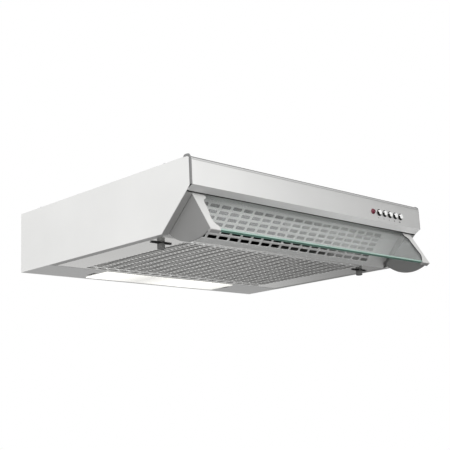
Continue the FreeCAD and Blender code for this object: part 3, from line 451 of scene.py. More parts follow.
def clear_glass():
    """Clear glass with a faint haze and wiping marks."""
    finish, tree, shader = finish_nodes("clear glass")
    set_sockets(shader, {"Base Color": (0.95, 0.98, 0.965, 1), "Transmission Weight": 0.94,
                         "IOR": 1.5, "Specular IOR Level": 1})
    wipe = noise(tree, space(tree, stretch=(1, 6, 6)), scale=18, detail=4)
    link(tree, spread(tree, wipe, low=0.0, high=0.03), shader.inputs["Roughness"])
    return finish


def glass_edge(name, dark, light):
    """Green edge of the glass, streaked along its length."""
    finish, tree, shader = finish_nodes(name)
    streak = noise(tree, space(tree, stretch=(1, 40, 40)), scale=30)
    link(tree, tint(tree, streak, dark, light), shader.inputs["Base Color"])
    set_sockets(shader, {"Roughness": 0.18, "Transmission Weight": 0.45})
    return finish


def lit_lens():
    """Opal lens lit from behind by two bulbs, with a ribbed inside."""
    finish, tree, shader = finish_nodes("lit lens")
    set_sockets(shader, {"Base Color": (0.9, 0.9, 0.87, 1), "Roughness": 0.35,
                         "Emission Color": (1.0, 0.985, 0.94, 1)})
    beside = math_node(tree, "ADD", on_axis(tree, "X"), LENS_DIM * MM)
    away = math_node(tree, "ABSOLUTE", beside)
    share = math_node(tree, "MULTIPLY", away, 1 / (LENS_REACH * MM))
    link(tree, ramp(tree, share, grey_levels(LENS_GLOW)), shader.inputs["Emission Strength"])
    ribs = tree.nodes.new("ShaderNodeTexWave")
    set_sockets(ribs, {"Scale": 90})
    link(tree, space(tree), ribs.inputs["Vector"])
    bump(tree, ribs.outputs["Fac"], shader, depth=0.3)
    return finish


def painted_shade_mesh(name, colour):
    """Layered expanded aluminium painted dark: a diamond net of strands over darker gaps. The dark
    tones are painted shade, standing for the shadowed inside seen through the tray's slots.
    """
    finish, tree, shader = finish_nodes(name)
    cells = tree.nodes.new("ShaderNodeTexVoronoi")
    cells.feature = "DISTANCE_TO_EDGE"
    set_sockets(cells, {"Scale": 260, "Randomness": 0.35})
    link(tree, space(tree, stretch=(1, 1.6, 1)), cells.inputs["Vector"])
    strand, shaded_gap = (0.06, colour), (0.16, shade(colour, 0.22))
    net = ramp(tree, cells.outputs["Distance"], (strand, shaded_gap))
    link(tree, net, shader.inputs["Base Color"])
    set_sockets(shader, {"Specular IOR Level": 0.05, "Roughness": 0.9})
    bump(tree, net, shader, depth=0.6, strength=0.8)
    return finish


SILVER = (0.80, 0.80, 0.79)
STROKE = (0.06, 1, 1)
BRUSHED = {"stretch": STROKE, "grain": 700, "depth": 0.012}
POLISHED = {"grain": 2200, "depth": 0.005}

# Painted light and shade: tones that change from left to right, where light falls unevenly across a
# piece
# painted light and shade: the brushed fascia lighter at its left end and darker at its right
FASCIA_PAINTED_LIGHT = ("X", -300, 300, 1.1, 0.93)
# painted shade: the fascia return darker towards its left end
RETURN_PAINTED_SHADE = ("X", -290, 100, 0.48, 1)
# painted shade: the tray darker towards its right side
TRAY_PAINTED_SHADE = ("X", -260, 260, 1, 0.84)
# painted shade: the inside faces and bottom flanges of the side panels darker than their outer
# faces
LEFT_SIDE_PAINTED_SHADE = ("X", -298.9, -298.7, 1, 0.62)
RIGHT_SIDE_PAINTED_SHADE = ("X", 298.7, 298.9, 0.62, 1)

FINISH = {
    # sheets: name, colour, metallic, roughness
    "casing": coated_sheet("silver casing", SILVER, 0.8, 0.36),
    "fascia": coated_sheet("brushed fascia", SILVER, 0.85, 0.33, **BRUSHED, run=FASCIA_PAINTED_LIGHT),
    "left side": coated_sheet("left side", SILVER, 0.8, 0.36, run=LEFT_SIDE_PAINTED_SHADE),
    "right side": coated_sheet("right side", SILVER, 0.8, 0.36, run=RIGHT_SIDE_PAINTED_SHADE),
    "grille": coated_sheet("silver grille", shade(SILVER, 0.89), 0.6, 0.32),
    "tray": coated_sheet("silver tray", (0.98, 0.97, 0.945), 0.9, 0.13, run=TRAY_PAINTED_SHADE),
    "return": coated_sheet("fascia return", (0.93, 0.93, 0.92), 0.1, 0.4, **BRUSHED,
                           run=RETURN_PAINTED_SHADE),
    # painted shade: darker silver over the upper part of the fascia's bend
    "bend": coated_sheet("fascia bend painted shade", shade(SILVER, 0.72), 0.85, 0.33, **BRUSHED),
    # painted shade: dark grey of the fascia's end trims, the shadow in the gap between fascia and
    # side panel
    "painted_gap_shade": coated_sheet("seam grey", (0.21, 0.21, 0.21), 0.2, 0.5),
    "zinc": coated_sheet("zinc sheet", (0.55, 0.56, 0.57), 0.85, 0.35, STROKE, grain=500),
    "aluminium": coated_sheet("mill aluminium", (0.70, 0.71, 0.72), 0.9, 0.32, STROKE, grain=600),
    "motor": coated_sheet("motor enamel", (0.09, 0.09, 0.10), 0.3, 0.45),
    # plastics and the like: name, colour, roughness
    # painted shade: dark grey band along the top of the fascia's bend, in place of the dark line
    # along its top edge
    "fold": moulded("fascia fold painted shade", (0.18, 0.18, 0.18), 0.8, gloss=0.06),
    "cheek": moulded("cheek plastic", (0.175, 0.175, 0.172), 0.45),
    "shelf": moulded("shelf plastic", (0.25, 0.25, 0.245), 0.45),
    "strip": moulded("strip plastic", (0.53, 0.53, 0.52), 0.38),
    "latch": moulded("latch plastic", (0.02, 0.02, 0.02), 0.6, gloss=0.12),
    "knob": moulded("latch knob", (0.13, 0.13, 0.127), 0.5, gloss=0.3),
    "black": moulded("black plastic", (0.035, 0.035, 0.037), 0.5),
    "grey": moulded("grey plastic", (0.26, 0.26, 0.27), 0.5),
    "button": moulded("button gloss", (0.86, 0.86, 0.85), 0.2, **POLISHED, coat=0.4),
    # painted shadow: black for the undersides of the button caps, the rings round them and the band
    # at the end of the fascia return
    "painted_shadow": moulded("button well", (0.02, 0.02, 0.02), 0.7, gloss=0.12),
    "red": moulded("red cap", (0.11, 0.004, 0.02), 0.18, grain=2200, depth=0.004, coat=0.3,
                   gloss=0.3),
    "mark": moulded("printed mark", (0.03, 0.03, 0.03), 0.55),
    "cream": moulded("holder ceramic", (0.75, 0.74, 0.70), 0.45),
    "bulb": moulded("frosted bulb", (0.92, 0.90, 0.84), 0.35, grain=900, depth=0.01),
    "wire": moulded("wire sleeve", (0.05, 0.05, 0.05), 0.6, grain=500, depth=0.2),
    # painted shade: the filter pad near black, so that the tray's slots look dark
    "filter": painted_shade_mesh("filter mesh painted shade", (0.12, 0.12, 0.118)),
    "glass": clear_glass(),
    "edge": glass_edge("glass edge", (0.07, 0.19, 0.14), (0.14, 0.30, 0.24)),
    # painted highlight: light mint on the front bevel of the pane's foot
    "bevel": glass_edge("glass bevel painted highlight", (0.55, 0.80, 0.70), (0.66, 0.90, 0.80)),
    "lens": lit_lens(),
}

NODE_FINISH = {
    "casing": ("top_panel", "back_panel", "rear_lamp_plate"),
    "left side": ("side_panel_left",),
    "right side": ("side_panel_right",),
    "zinc": ("grille_hangers", "tray_hinge_pins", "filter_retainers", "visor_pivot_left",
             "visor_pivot_right", "motor_shaft", "damper_rod", "top_screws", "spigot_screws"),
    "aluminium": ("filter_rim", "lamp_reflector", "motor_capacitor"),
    "filter": ("filter_mesh",),
    "grey": ("tray_bracket_left", "tray_bracket_right", "switch_block", "terminal_box"),
    "black": ("blower_scroll", "blower_inlet_plate", "blower_impeller", "outlet_spigot",
              "damper_flap_front", "damper_flap_rear", "cable_gland"),
    "motor": ("blower_motor",),
    "cream": ("lamp_holders",),
    "bulb": ("lamp_bulbs",),
    "wire": ("wire_loom", "lamp_loom"),
}


def dress_nodes():
    for finish, names in NODE_FINISH.items():
        for name in names:
            data = frame["nodes"][name].data
            data.materials.clear()
            data.materials.append(FINISH[finish])


# Slotted tray and front grille

# Columns are a count, an offset from the middle and a pitch; a rim is a width and a depth.
SLOT = (20.2, 6.2)
GRILLE_COLUMNS = (19, -11.2, 25.2)
GRILLE_CORNER = 1.6
GRILLE_RIM = (0.5, 0.3)
GRILLE_PITCH = 10.5
GRILLE_ROWS = 6
GRILLE_TOP = 14
GRILLE_TILT = math.radians(5.8)
GRILLE_INSET = 9
GRILLE_FOOT = SLANT + GRILLE_INSET * SLOPE_RUN / SLOPE_RISE
GRILLE_FOOT_MARGIN = 9.5
GRILLE_SIDE_GAP = 1.2
GRILLE_EAR_TOP = 93.5
TRAY_COLUMNS = (18, -2.2, 25.25)
TRAY_CORNER = 3.05
TRAY_RIM = (2, 0.27)
TRAY_SINK = 0.55
TRAY_PITCH = 10.42
TRAY_BEND = 1.2
TRAY_BEND_STEPS = 3
TRAY_FRONT_ALLOWANCE = 0.35
TRAY_FRONT_MARGIN = 6.5
TRAY_REAR_MARGIN = 4
TRAY_LIP_START = 78


def column_lines(columns, reach):
    count, offset, pitch = columns
    start = offset - count * pitch / 2
    return [-reach, *(start + pitch * step for step in range(count + 1)), reach]


def row_lines(first, rows, pitch):
    return [first + (line - 0.5) * pitch for line in range(rows + 1)]


def slot_cells(columns, corner, first_row, rows, row_pitch, first_cell):
    """Slots for every column of each row; first_cell is the grid row of the first slots."""
    count, offset, pitch = columns
    start = offset - (count - 1) * pitch / 2
    cells = {}
    for column in range(count):
        for line in range(rows):
            centre = (start + column * pitch, first_row + line * row_pitch)
            cells[column + 1, first_cell + line] = (centre, SLOT, corner)
    return cells


def make_tray():
    low, high = node_box("filter_tray")
    front, rear, reach = low.y - TRAY_FRONT_ALLOWANCE, high.y, high.x
    bend_from = front + TRAY_BEND * math.sin(SLOPE_TILT)
    arc_length = TRAY_BEND * SLOPE_TILT

    def place(x, y, depth):
        if y >= bend_from:
            return row(x, y, depth)
        turn = (bend_from - y) / TRAY_BEND
        radius = TRAY_BEND - depth
        return row(x, bend_from - radius * math.sin(turn), TRAY_BEND - radius * math.cos(turn))

    first = front + TRAY_FRONT_MARGIN + SLOT[1] / 2
    rows = int((rear - TRAY_REAR_MARGIN - first - SLOT[1] / 2) / TRAY_PITCH) + 1
    bend_lines = [bend_from - arc_length * (1 - step / TRAY_BEND_STEPS)
                  for step in range(TRAY_BEND_STEPS)]
    y_lines = [*bend_lines, bend_from, *row_lines(first, rows, TRAY_PITCH), rear]
    slots = slot_cells(TRAY_COLUMNS, TRAY_CORNER, first, rows, TRAY_PITCH, len(bend_lines) + 1)
    mesh = bmesh.new()
    add_pierced_sheet(mesh, column_lines(TRAY_COLUMNS, reach), y_lines, slots, TRAY_RIM, place,
                      TRAY_SINK)
    for side, _ in SIDES:
        left, right = span(side, reach, reach - SHEET)
        add_box(mesh, (left, front + TRAY_LIP_START, SHEET), (right, rear, high.z))
    ends = node_box("filter_rim")[1].x
    add_box(mesh, (-ends, rear - SHEET, SHEET), (ends, rear, high.z))
    add_piece("tray_sheet", mesh, "tray", "silver_paint", "tray", replaces=("filter_tray",))


def make_grille():
    end = node_box("front_grille")[1].x
    reach = node_box("visor_glass")[1].x - GRILLE_SIDE_GAP
    foot = (GRILLE_FOOT * SLOPE_RUN + GRILLE_INSET * SLOPE_RISE) / SLANT
    lean = SLOPE_TILT + GRILLE_TILT

    def place(x, down, depth):
        above = GRILLE_FOOT - down
        y = foot - above * math.cos(lean) + depth * math.sin(lean)
        return row(x, y, above * math.sin(lean) + depth * math.cos(lean))

    first = GRILLE_FOOT - GRILLE_FOOT_MARGIN - SLOT[1] / 2 - (GRILLE_ROWS - 1) * GRILLE_PITCH
    y_lines = [GRILLE_TOP, *row_lines(first, GRILLE_ROWS, GRILLE_PITCH), GRILLE_FOOT]
    slots = slot_cells(GRILLE_COLUMNS, GRILLE_CORNER, first, GRILLE_ROWS, GRILLE_PITCH, 1)
    mesh = bmesh.new()
    add_pierced_sheet(mesh, column_lines(GRILLE_COLUMNS, reach), y_lines, slots, GRILLE_RIM, place)
    for side, _ in SIDES:
        left, right = span(side, reach, end)
        add_box(mesh, (left, GRILLE_EAR_TOP, 0), (right, GRILLE_FOOT, SHEET), place)
    add_piece("grille_sheet", mesh, "casing", "silver_paint", "grille", replaces=("front_grille",))


# Front fascia

BUTTONS = ("lamp", "stop", "speed_1", "speed_2", "speed_3")
FASCIA_FORWARD = 5
FASCIA_BEND = 9
FASCIA_BEND_STEPS = 10
FASCIA_RETURN = 12
TOP_RETURN = 12
BAND_FOOT = SLOPE_RISE
GAP_BAND = 2
RETURN_SIDE_GAP = 1.3
RETURN_END = (FASCIA_RETURN * SLOPE_RUN / SLANT, SLOPE_RISE - FASCIA_RETURN * SLOPE_RISE / SLANT)
CONTROL_HEIGHT = 81
CONTROL_CELL = 9
BUTTON_HOLE = 10.2
INDICATOR_HOLE = 10.4
HOLE_RIM = (0.25, 0.25)
FASCIA_FINISHES = ("fascia", "fold", "return", "painted_shadow", "bend")
BEND_CENTRE = HEIGHT - FASCIA_BEND
# angles on the top bend where the painted shade bands start
BEND_ANGLE = math.radians(8)
FOLD_ANGLE = math.radians(35)
FOLD_SLACK = 0.1
BEND_LINE = BEND_CENTRE + FASCIA_BEND * math.sin(BEND_ANGLE)
FOLD_LINE = BEND_CENTRE + FASCIA_BEND * math.sin(FOLD_ANGLE)
FOLD_BACK = FASCIA_BEND - FASCIA_FORWARD + FOLD_SLACK
TOP_FLAT = TOP_RETURN + FASCIA_FORWARD - FASCIA_BEND
BEND_LENGTH = FASCIA_BEND * math.pi / 2

# End trim: distances behind the front and above the top
END_TRIM = 1.1
END_TRIM_DEPTH = 3.9
TRIM_FOOT_RISE = 0.6
HOOK_RISE = {-1: 3.2, 1: 0.8}
TRIM_NOSE = ((0, -9), (0.9, -3.6))
TRIM_HOOK = ((4, -1.3), (8, 0), (13, 0), (16.2, -1.2))
TRIM_TIP = ((17, 0.1), (17, -0.7))
TRIM_INSIDE = ((9, -0.7), (4.8, -2.8), (3.9, -6))
TRIM_STEPS = 4


def fascia_point(x, run, depth):
    """Point of the folded fascia; run goes from the rear edge of the top return down the front."""
    if run <= TOP_FLAT:
        return row(x, TOP_RETURN - run, HEIGHT - depth)
    if run <= TOP_FLAT + BEND_LENGTH:
        turn = (run - TOP_FLAT) / FASCIA_BEND
        radius = FASCIA_BEND - depth
        y = FASCIA_BEND - FASCIA_FORWARD - radius * math.sin(turn)
        return row(x, y, BEND_CENTRE + radius * math.cos(turn))
    return row(x, depth - FASCIA_FORWARD, BEND_CENTRE - (run - TOP_FLAT - BEND_LENGTH))


def fascia_run(height):
    return TOP_FLAT + BEND_LENGTH + BEND_CENTRE - height


def make_fascia():
    holes = [(middle_x("indicator_lamp"), INDICATOR_HOLE)]
    holes += [(middle_x(f"push_button_{name}"), BUTTON_HOLE) for name in BUTTONS]
    centres = [x for x, _ in holes]
    walls = [(a + b) / 2 for a, b in zip(centres, centres[1:])]
    reach = HALF - END_TRIM
    x_lines = [-reach, centres[0] - CONTROL_CELL, *walls, centres[-1] + CONTROL_CELL, reach]
    bend = [TOP_FLAT + BEND_LENGTH * step / FASCIA_BEND_STEPS
            for step in range(FASCIA_BEND_STEPS + 1)]
    middle = fascia_run(CONTROL_HEIGHT)
    y_lines = [0, *bend, middle - CONTROL_CELL, middle + CONTROL_CELL, fascia_run(BAND_FOOT)]
    cell = len(y_lines) - 3
    slots = {(index + 1, cell): ((x, middle), (size, size), size / 2)
             for index, (x, size) in enumerate(holes)}
    mesh = bmesh.new()
    add_pierced_sheet(mesh, x_lines, y_lines, slots, HOLE_RIM, fascia_point)
    # painted shade on the fascia's top bend: darker silver above BEND_LINE and dark grey above
    # FOLD_LINE
    for face in mesh.faces:
        spots = [layout(vert.co) for vert in face.verts]
        lowest, rearmost = min(spot.z for spot in spots), max(spot.y for spot in spots)
        if lowest > BEND_LINE and rearmost < FOLD_BACK:
            face.material_index = FASCIA_FINISHES.index("fold" if lowest > FOLD_LINE else "bend")
    add_return(mesh)
    add_piece("fascia_sheet", mesh, "casing", "silver_paint", *FASCIA_FINISHES,
              replaces=("front_fascia",))
    for side, hand in SIDES:
        make_end_trim(side, hand)


def add_return(mesh):
    """Return of the fascia along the slope: a pale lip and the black band that ends it, a painted
    shadow of the gap behind it.
    """
    run, drop = RETURN_END[0] + FASCIA_FORWARD, BAND_FOOT - RETURN_END[1]
    length = math.hypot(run, drop)

    def inside(point):
        return point[0] + SHEET * drop / length, point[1] + SHEET * run / length

    share = 1 - GAP_BAND / length
    front = (-FASCIA_FORWARD, BAND_FOOT)
    middle = (-FASCIA_FORWARD + run * share, BAND_FOOT - drop * share)
    corner = (-FASCIA_FORWARD + SHEET, BAND_FOOT + SHEET * (length - drop) / run)
    lip = (front, middle, inside(middle), corner)
    tail = (middle, RETURN_END, inside(RETURN_END), inside(middle))
    end = HALF - RETURN_SIDE_GAP
    # the tail band's black is painted shadow in the gap along the return's edge
    for outline, finish in ((lip, "return"), (tail, "painted_shadow")):
        add_prism(mesh, outline, -end, end, across(row), FASCIA_FINISHES.index(finish))


def make_end_trim(side, hand):
    """Trim that closes the end of the folded fascia and hooks back over its top; its dark grey is
    painted shade, the shadow in the gap at the fascia's end.
    """
    front = -FASCIA_FORWARD

    def above(points, top=HEIGHT):
        return [(front + behind, top + rise) for behind, rise in points]

    crest = above(TRIM_NOSE) + above(TRIM_HOOK, HEIGHT + HOOK_RISE[side]) + above(TRIM_TIP)
    outline = [(front + END_TRIM_DEPTH, BAND_FOOT + TRIM_FOOT_RISE), (front, BAND_FOOT),
               *smooth_run(crest, TRIM_STEPS), *above(TRIM_INSIDE)]
    mesh = bmesh.new()
    add_prism(mesh, outline, *span(side, HALF, HALF - END_TRIM), across(row))
    add_piece(f"fascia_trim_{hand}", mesh, "casing", "grey_plastic", "painted_gap_shade")


# Push buttons and indicator

# Profiles are distances behind the fascia's face and radii.
BUTTON_PROFILE = (
    (-3.7, 0), (-3.75, 1.6), (-4.0, 3.2), (-3.9, 3.9), (-3.45, 4.4), (-2.6, 4.65), (1.4, 4.7),
    (1.4, 3.0), (17, 3.0), (17, 0),
)
INDICATOR_PROFILE = (
    (-4.2, 0), (-4.1, 1.4), (-3.6, 2.8), (-2.7, 3.9), (-1.4, 4.7), (0, 5.1), (9, 5.1), (9, 0),
)
BEZEL = ((-0.45, 4.85), (-0.5, 6.1), (-0.3, 6.4), (0, 6.4), (0, 4.85))
CAP_FACE = 3.3
CAP_SHADOW_LINE = 2
MARK_HEIGHT = 70.6
MARK_SHIFT = -3.4
MARK_BARS = {"lamp": 1, "stop": 1, "speed_1": 1, "speed_2": 2, "speed_3": 3}
MARK_BAR = (0.9, 2.6)
MARK_PROUD = 0.06


def add_turned(mesh, profile, node):
    """Turned form on a control's axis, along the pressing direction."""
    x = middle_x(node)
    add_lathe(mesh, profile, lambda along, aside, up: row(
        x + aside, along - FASCIA_FORWARD, CONTROL_HEIGHT + up))


def make_controls():
    for name in BUTTONS:
        node = f"push_button_{name}"
        mesh = bmesh.new()
        add_turned(mesh, BUTTON_PROFILE, node)
        # painted shadow: the caps' sides below CAP_SHADOW_LINE are black, the rest white
        for face in mesh.faces:
            middle = layout(face.calc_center_median())
            beside = middle.y > -FASCIA_FORWARD - CAP_FACE
            face.material_index = int(beside and middle.z < CONTROL_HEIGHT + CAP_SHADOW_LINE)
        add_piece(f"button_cap_{name}", mesh, f"button_{name}", "button", "button", "painted_shadow",
                  replaces=(node,))
        # black ring round each cap, widened so that its black also paints the shadow round the
        # button
        ring = bmesh.new()
        add_turned(ring, (*BEZEL, BEZEL[0]), node)
        add_piece(f"button_bezel_{name}", ring, "casing", "black_plastic", "painted_shadow")
        make_mark(name, middle_x(node) + MARK_SHIFT)
    mesh = bmesh.new()
    add_turned(mesh, INDICATOR_PROFILE, "indicator_lamp")
    add_piece("indicator_cap", mesh, "casing", "red_lens", "red", replaces=("indicator_lamp",))


def make_mark(name, middle):
    """Printed mark under a button: a dash for lamp and stop, upright bars for the speeds."""
    mesh = bmesh.new()
    count = MARK_BARS[name]
    wide, tall = MARK_BAR if name.startswith("speed") else reversed(MARK_BAR)
    for bar in range(count):
        x = middle + (bar - (count - 1) / 2) * 2 * wide
        low = (x - wide / 2, -FASCIA_FORWARD - MARK_PROUD, MARK_HEIGHT - tall / 2)
        add_box(mesh, low, (x + wide / 2, -FASCIA_FORWARD, MARK_HEIGHT + tall / 2))
    add_piece(f"button_mark_{name}", mesh, "casing", "black_plastic", "mark")


# Visor

VISOR_OPEN = math.radians(31.5)
HUB_RADIUS = 6.4
HUB_STEPS = 14
CHEEK_RADIUS = 74
CHEEK_STEPS = 28
CHEEK_THICKNESS = 2.5
CHEEK_SOFT = 0.5
STRIP_FACE = 5.2
STRIP_THICKNESS = 1.6
STRIP_BACK = STRIP_THICKNESS - STRIP_FACE
STRIP_REACH = 77.5
STRIP_HEAD = 25
STRIP_FOOT = 20
STRIP_FOOT_HEIGHT = 5.5
STRIP_SOFT = 0.35
STRIP_EDGE = (
    # width of the strip, height
    (25, -7), (24.2, -10.5), (19, -14.5), (16, -19), (14.8, -35), (11.8, -52), (12.6, -61),
    (19, -69.5),
)
STRIP_EDGE_STEPS = 5
SHELF_DEPTH = 6.5
SHELF_SOFT = 0.5
GLASS_THICKNESS = 4
GLASS_REACH = 73.5
GLASS_BEVEL = 1.5
GLASS_LIP = 6.2
GLASS_LIP_CORNER = 0.5
GLASS_LIP_HEIGHT = 2
GLASS_LIP_ROOT = 3
VISOR_HEAD = math.sqrt(HUB_RADIUS ** 2 - STRIP_FACE ** 2)


def visor_place(x, y, z):
    """Point of the open visor's own layout, whose origin is on the hinge axis."""
    pivot = Vector(JOINTS["visor_hinge"]["pos_m"])
    return pivot + Matrix.Rotation(-VISOR_OPEN, 3, "X") @ (Vector((x, y, z)) * MM)


def make_visor():
    outer = node_box("visor_cheek_right")[1].x
    sweep = 90 - math.degrees(SLOPE_TILT) + math.degrees(VISOR_OPEN)
    start = -90 - math.degrees(math.asin(-STRIP_BACK / CHEEK_RADIUS))
    crown = 90 + math.degrees(math.asin(-STRIP_BACK / HUB_RADIUS))
    outline = arc((0, 0), CHEEK_RADIUS, start, sweep - 90, CHEEK_STEPS)
    outline += arc((0, 0), HUB_RADIUS, sweep - 90, crown, HUB_STEPS)
    for side, hand in SIDES:
        mesh = bmesh.new()
        add_prism(mesh, outline, *span(side, outer, outer - CHEEK_THICKNESS), across(visor_place))
        soften(mesh, CHEEK_SOFT)
        add_piece(f"visor_cheek_plate_{hand}", mesh, "visor", "cheek_plastic", "cheek",
                  replaces=(f"visor_cheek_{hand}",))
        make_strip(side, hand, outer)
    make_pane(outer - CHEEK_THICKNESS)


def make_strip(side, hand, outer):
    """Waisted strip over the end of the pane, black along its inner edge as painted shadow of the
    gap at the pane's end, and the shelf under it.
    """
    waist = smooth_run(STRIP_EDGE, STRIP_EDGE_STEPS)
    edge = [(STRIP_HEAD, VISOR_HEAD), *waist, (STRIP_FOOT, STRIP_FOOT_HEIGHT - STRIP_REACH),
            (STRIP_FOOT, -STRIP_REACH)]
    outline = [(side * (outer - width), z)
               for width, z in ((0, VISOR_HEAD), *edge, (0, -STRIP_REACH))]
    mesh = bmesh.new()
    faces = add_prism(mesh, outline, -STRIP_FACE, STRIP_BACK,
                      lambda x, z, y: visor_place(x, y, z))
    # painted shadow: the faces along the strip's inner edge take the black finish
    inner_edge = faces[3:len(waist) + 4]
    for face in inner_edge:
        face.material_index = 1
    soften(mesh, STRIP_SOFT)
    left, right = span(side, outer, outer - STRIP_FOOT)
    shelf = bmesh.new()
    add_box(shelf, (left, STRIP_BACK, -STRIP_REACH),
            (right, STRIP_BACK + SHELF_DEPTH, -GLASS_REACH), visor_place)
    soften(shelf, SHELF_SOFT)
    add_piece(f"visor_strip_{hand}", mesh, "visor", "cheek_plastic", "strip", "black")
    add_piece(f"visor_shelf_{hand}", shelf, "visor", "cheek_plastic", "shelf")


def make_pane(reach):
    """Glass pane with a bevelled front edge and a thicker lip along its foot; the bevel's light
    finish is a painted highlight.
    """
    front = STRIP_BACK
    back = front + GLASS_THICKNESS
    lip = front + GLASS_LIP
    # each corner of the section, with the finish of the face that goes on from it
    section = (
        (front, VISOR_HEAD, "glass"),
        (front, GLASS_BEVEL - GLASS_REACH, "bevel"),
        (front + GLASS_BEVEL, -GLASS_REACH, "edge"),
        (lip - GLASS_LIP_CORNER, -GLASS_REACH, "edge"),
        (lip, GLASS_LIP_CORNER - GLASS_REACH, "edge"),
        (lip, GLASS_LIP_HEIGHT - GLASS_REACH, "glass"),
        (back, GLASS_LIP_ROOT - GLASS_REACH, "glass"),
        (back, VISOR_HEAD, "edge"),
    )
    mesh = bmesh.new()
    outline = [(y, z) for y, z, _ in section]
    faces = add_prism(mesh, outline, -reach, reach, across(visor_place))
    finishes = ("glass", "edge", "bevel")
    for face, finish in zip(faces, ("edge", "edge", *(name for *_, name in section))):
        face.material_index = finishes.index(finish)
    add_piece("visor_pane", mesh, "visor", "glass", *finishes, replaces=("visor_glass",))


# Turn latches

LATCH_TURN = math.radians(-2)
WING_REACH = 20.5
WING_RISE = 0.3
WING_DROP = 0.1
WING_THICKNESS = 2
WING_THINNING = 0.9
WING_HALF_WIDTH = 4.5
WING_NARROWING = 1.2
WING_STEPS = 20
WING_SIDE_ANGLE = 30
WING_FULLNESS = 0.7
KNOB_PROFILE = ((3.2, 0), (3.2, 4), (-2.2, 4), (-2.2, 6.2), (-9.4, 6.5), (-10.5, 5.9), (-11, 4.6),
                (-11, 0))
KNOB_STEPS = 28
TONGUE_REACH = 32
TONGUE_HALF_WIDTH = 4.5
TONGUE_HEIGHTS = (1.2, 3.2)
TONGUE_STEPS = 12


def make_latches():
    end = arc((0, TONGUE_REACH - TONGUE_HALF_WIDTH), TONGUE_HALF_WIDTH, 0, 180, TONGUE_STEPS)
    tongue = [(-TONGUE_HALF_WIDTH, 0), (TONGUE_HALF_WIDTH, 0), *end]
    cosine, sine = math.cos(LATCH_TURN), math.sin(LATCH_TURN)
    for _, hand in SIDES:
        axis = layout(JOINTS[f"latch_{hand}_turn"]["pos_m"])

        def place(u, v, w):
            return row(axis.x + u * cosine - v * sine, axis.y + u * sine + v * cosine, w)

        mesh = bmesh.new()
        add_wing(mesh, place)
        add_lathe(mesh, KNOB_PROFILE, lambda along, u, v: place(u, v, along), KNOB_STEPS, 1)
        add_prism(mesh, tongue, *TONGUE_HEIGHTS, place)
        add_piece(f"turn_latch_{hand}", mesh, f"latch_{hand}", "black_plastic", "latch", "knob",
                  replaces=(f"grille_latch_{hand}",))


def add_wing(mesh, place):
    """Bowed finger wing, thick in the middle and thin at the drooping tips."""
    sections = []
    for step in range(WING_STEPS + 1):
        share = 2 * step / WING_STEPS - 1
        top = -WING_DROP - WING_RISE * share * share
        thick = WING_THICKNESS - WING_THINNING * abs(share)
        wide = WING_HALF_WIDTH - WING_NARROWING * share * share
        ring = []
        for angle in range(0, 360, WING_SIDE_ANGLE):
            turn = math.radians(angle)
            bulge = math.copysign(abs(math.sin(turn)) ** WING_FULLNESS, math.sin(turn))
            height = top + thick / 2 * (bulge - 1)
            ring.append(mesh.verts.new(place(WING_REACH * share, wide * math.cos(turn), height)))
        sections.append(ring)
    for ring, following in zip(sections, sections[1:]):
        add_tube(mesh, ring, following)
    mesh.faces.new(sections[0])
    mesh.faces.new(sections[-1])


# Lamp lens

LENS_RIM = 4
LENS_SOFT = 0.6


def make_lens():
    """Lit window and the unlit flange that holds it above the plate."""
    low, high = node_box("lamp_lens")
    mesh = bmesh.new()
    add_box(mesh, (low.x + LENS_RIM, low.y + LENS_RIM, low.z),
            (high.x - LENS_RIM, high.y - LENS_RIM, SHEET))
    soften(mesh, LENS_SOFT)
    add_box(mesh, (low.x, low.y, SHEET), (high.x, high.y, high.z), finish=1)
    add_piece("lens_window", mesh, "casing", "lens", "lens", "bulb", replaces=("lamp_lens",))


# Floor, light and camera

CAMERA_PLACE = (-1200.8, -977.4, -292.0)
CAMERA_AZIMUTH = math.radians(-44.821)
CAMERA_ELEVATION = math.radians(-12.368)
CAMERA_ROLL = math.radians(-2.636)
FOCAL_PIXELS = 916.916
IMAGE_PIXELS = 450
SENSOR = 36
FLOOR_HEIGHT = -2200
FLOOR_REACH = 3000
FLOOR_PATCH = 2
FLOOR_TONES = ((0.84, 0.84, 0.83), (0.88, 0.88, 0.87))
WHITE = (1, 1, 1, 1)
STUDIO_LEVELS = (
    # height of the direction from -1 to 1, brightness
    (-1.0, 0.22), (-0.6, 0.26), (-0.25, 0.45), (-0.05, 0.8), (0.1, 1.1), (1.0, 1.1),
)
FLAGS = (
    # direction, cosines of the angles at the soft edge's outside and inside, brightness inside
    ((0.92, -0.28, 0.28), (0.87, 0.995), 0.15),
    ((0.86, 0.49, -0.14), (0.962, 0.998), 0.4),
)
BACKDROP_EDGE = (0.3, 0.8)
LAMPS = (
    # name, place, aim, size, power
    ("key", (-900, -1000, 700), (-200, 0, 80), 700, 9),
    ("low fill", (-1000, -350, -650), (-200, 180, 0), 500, 5),
    ("right fill", (500, -1000, -500), (150, 0, 60), 400, 1.5),
    ("lamp spill", (175, 270, 65), (299, 150, 50), 60, 0.0055),
)


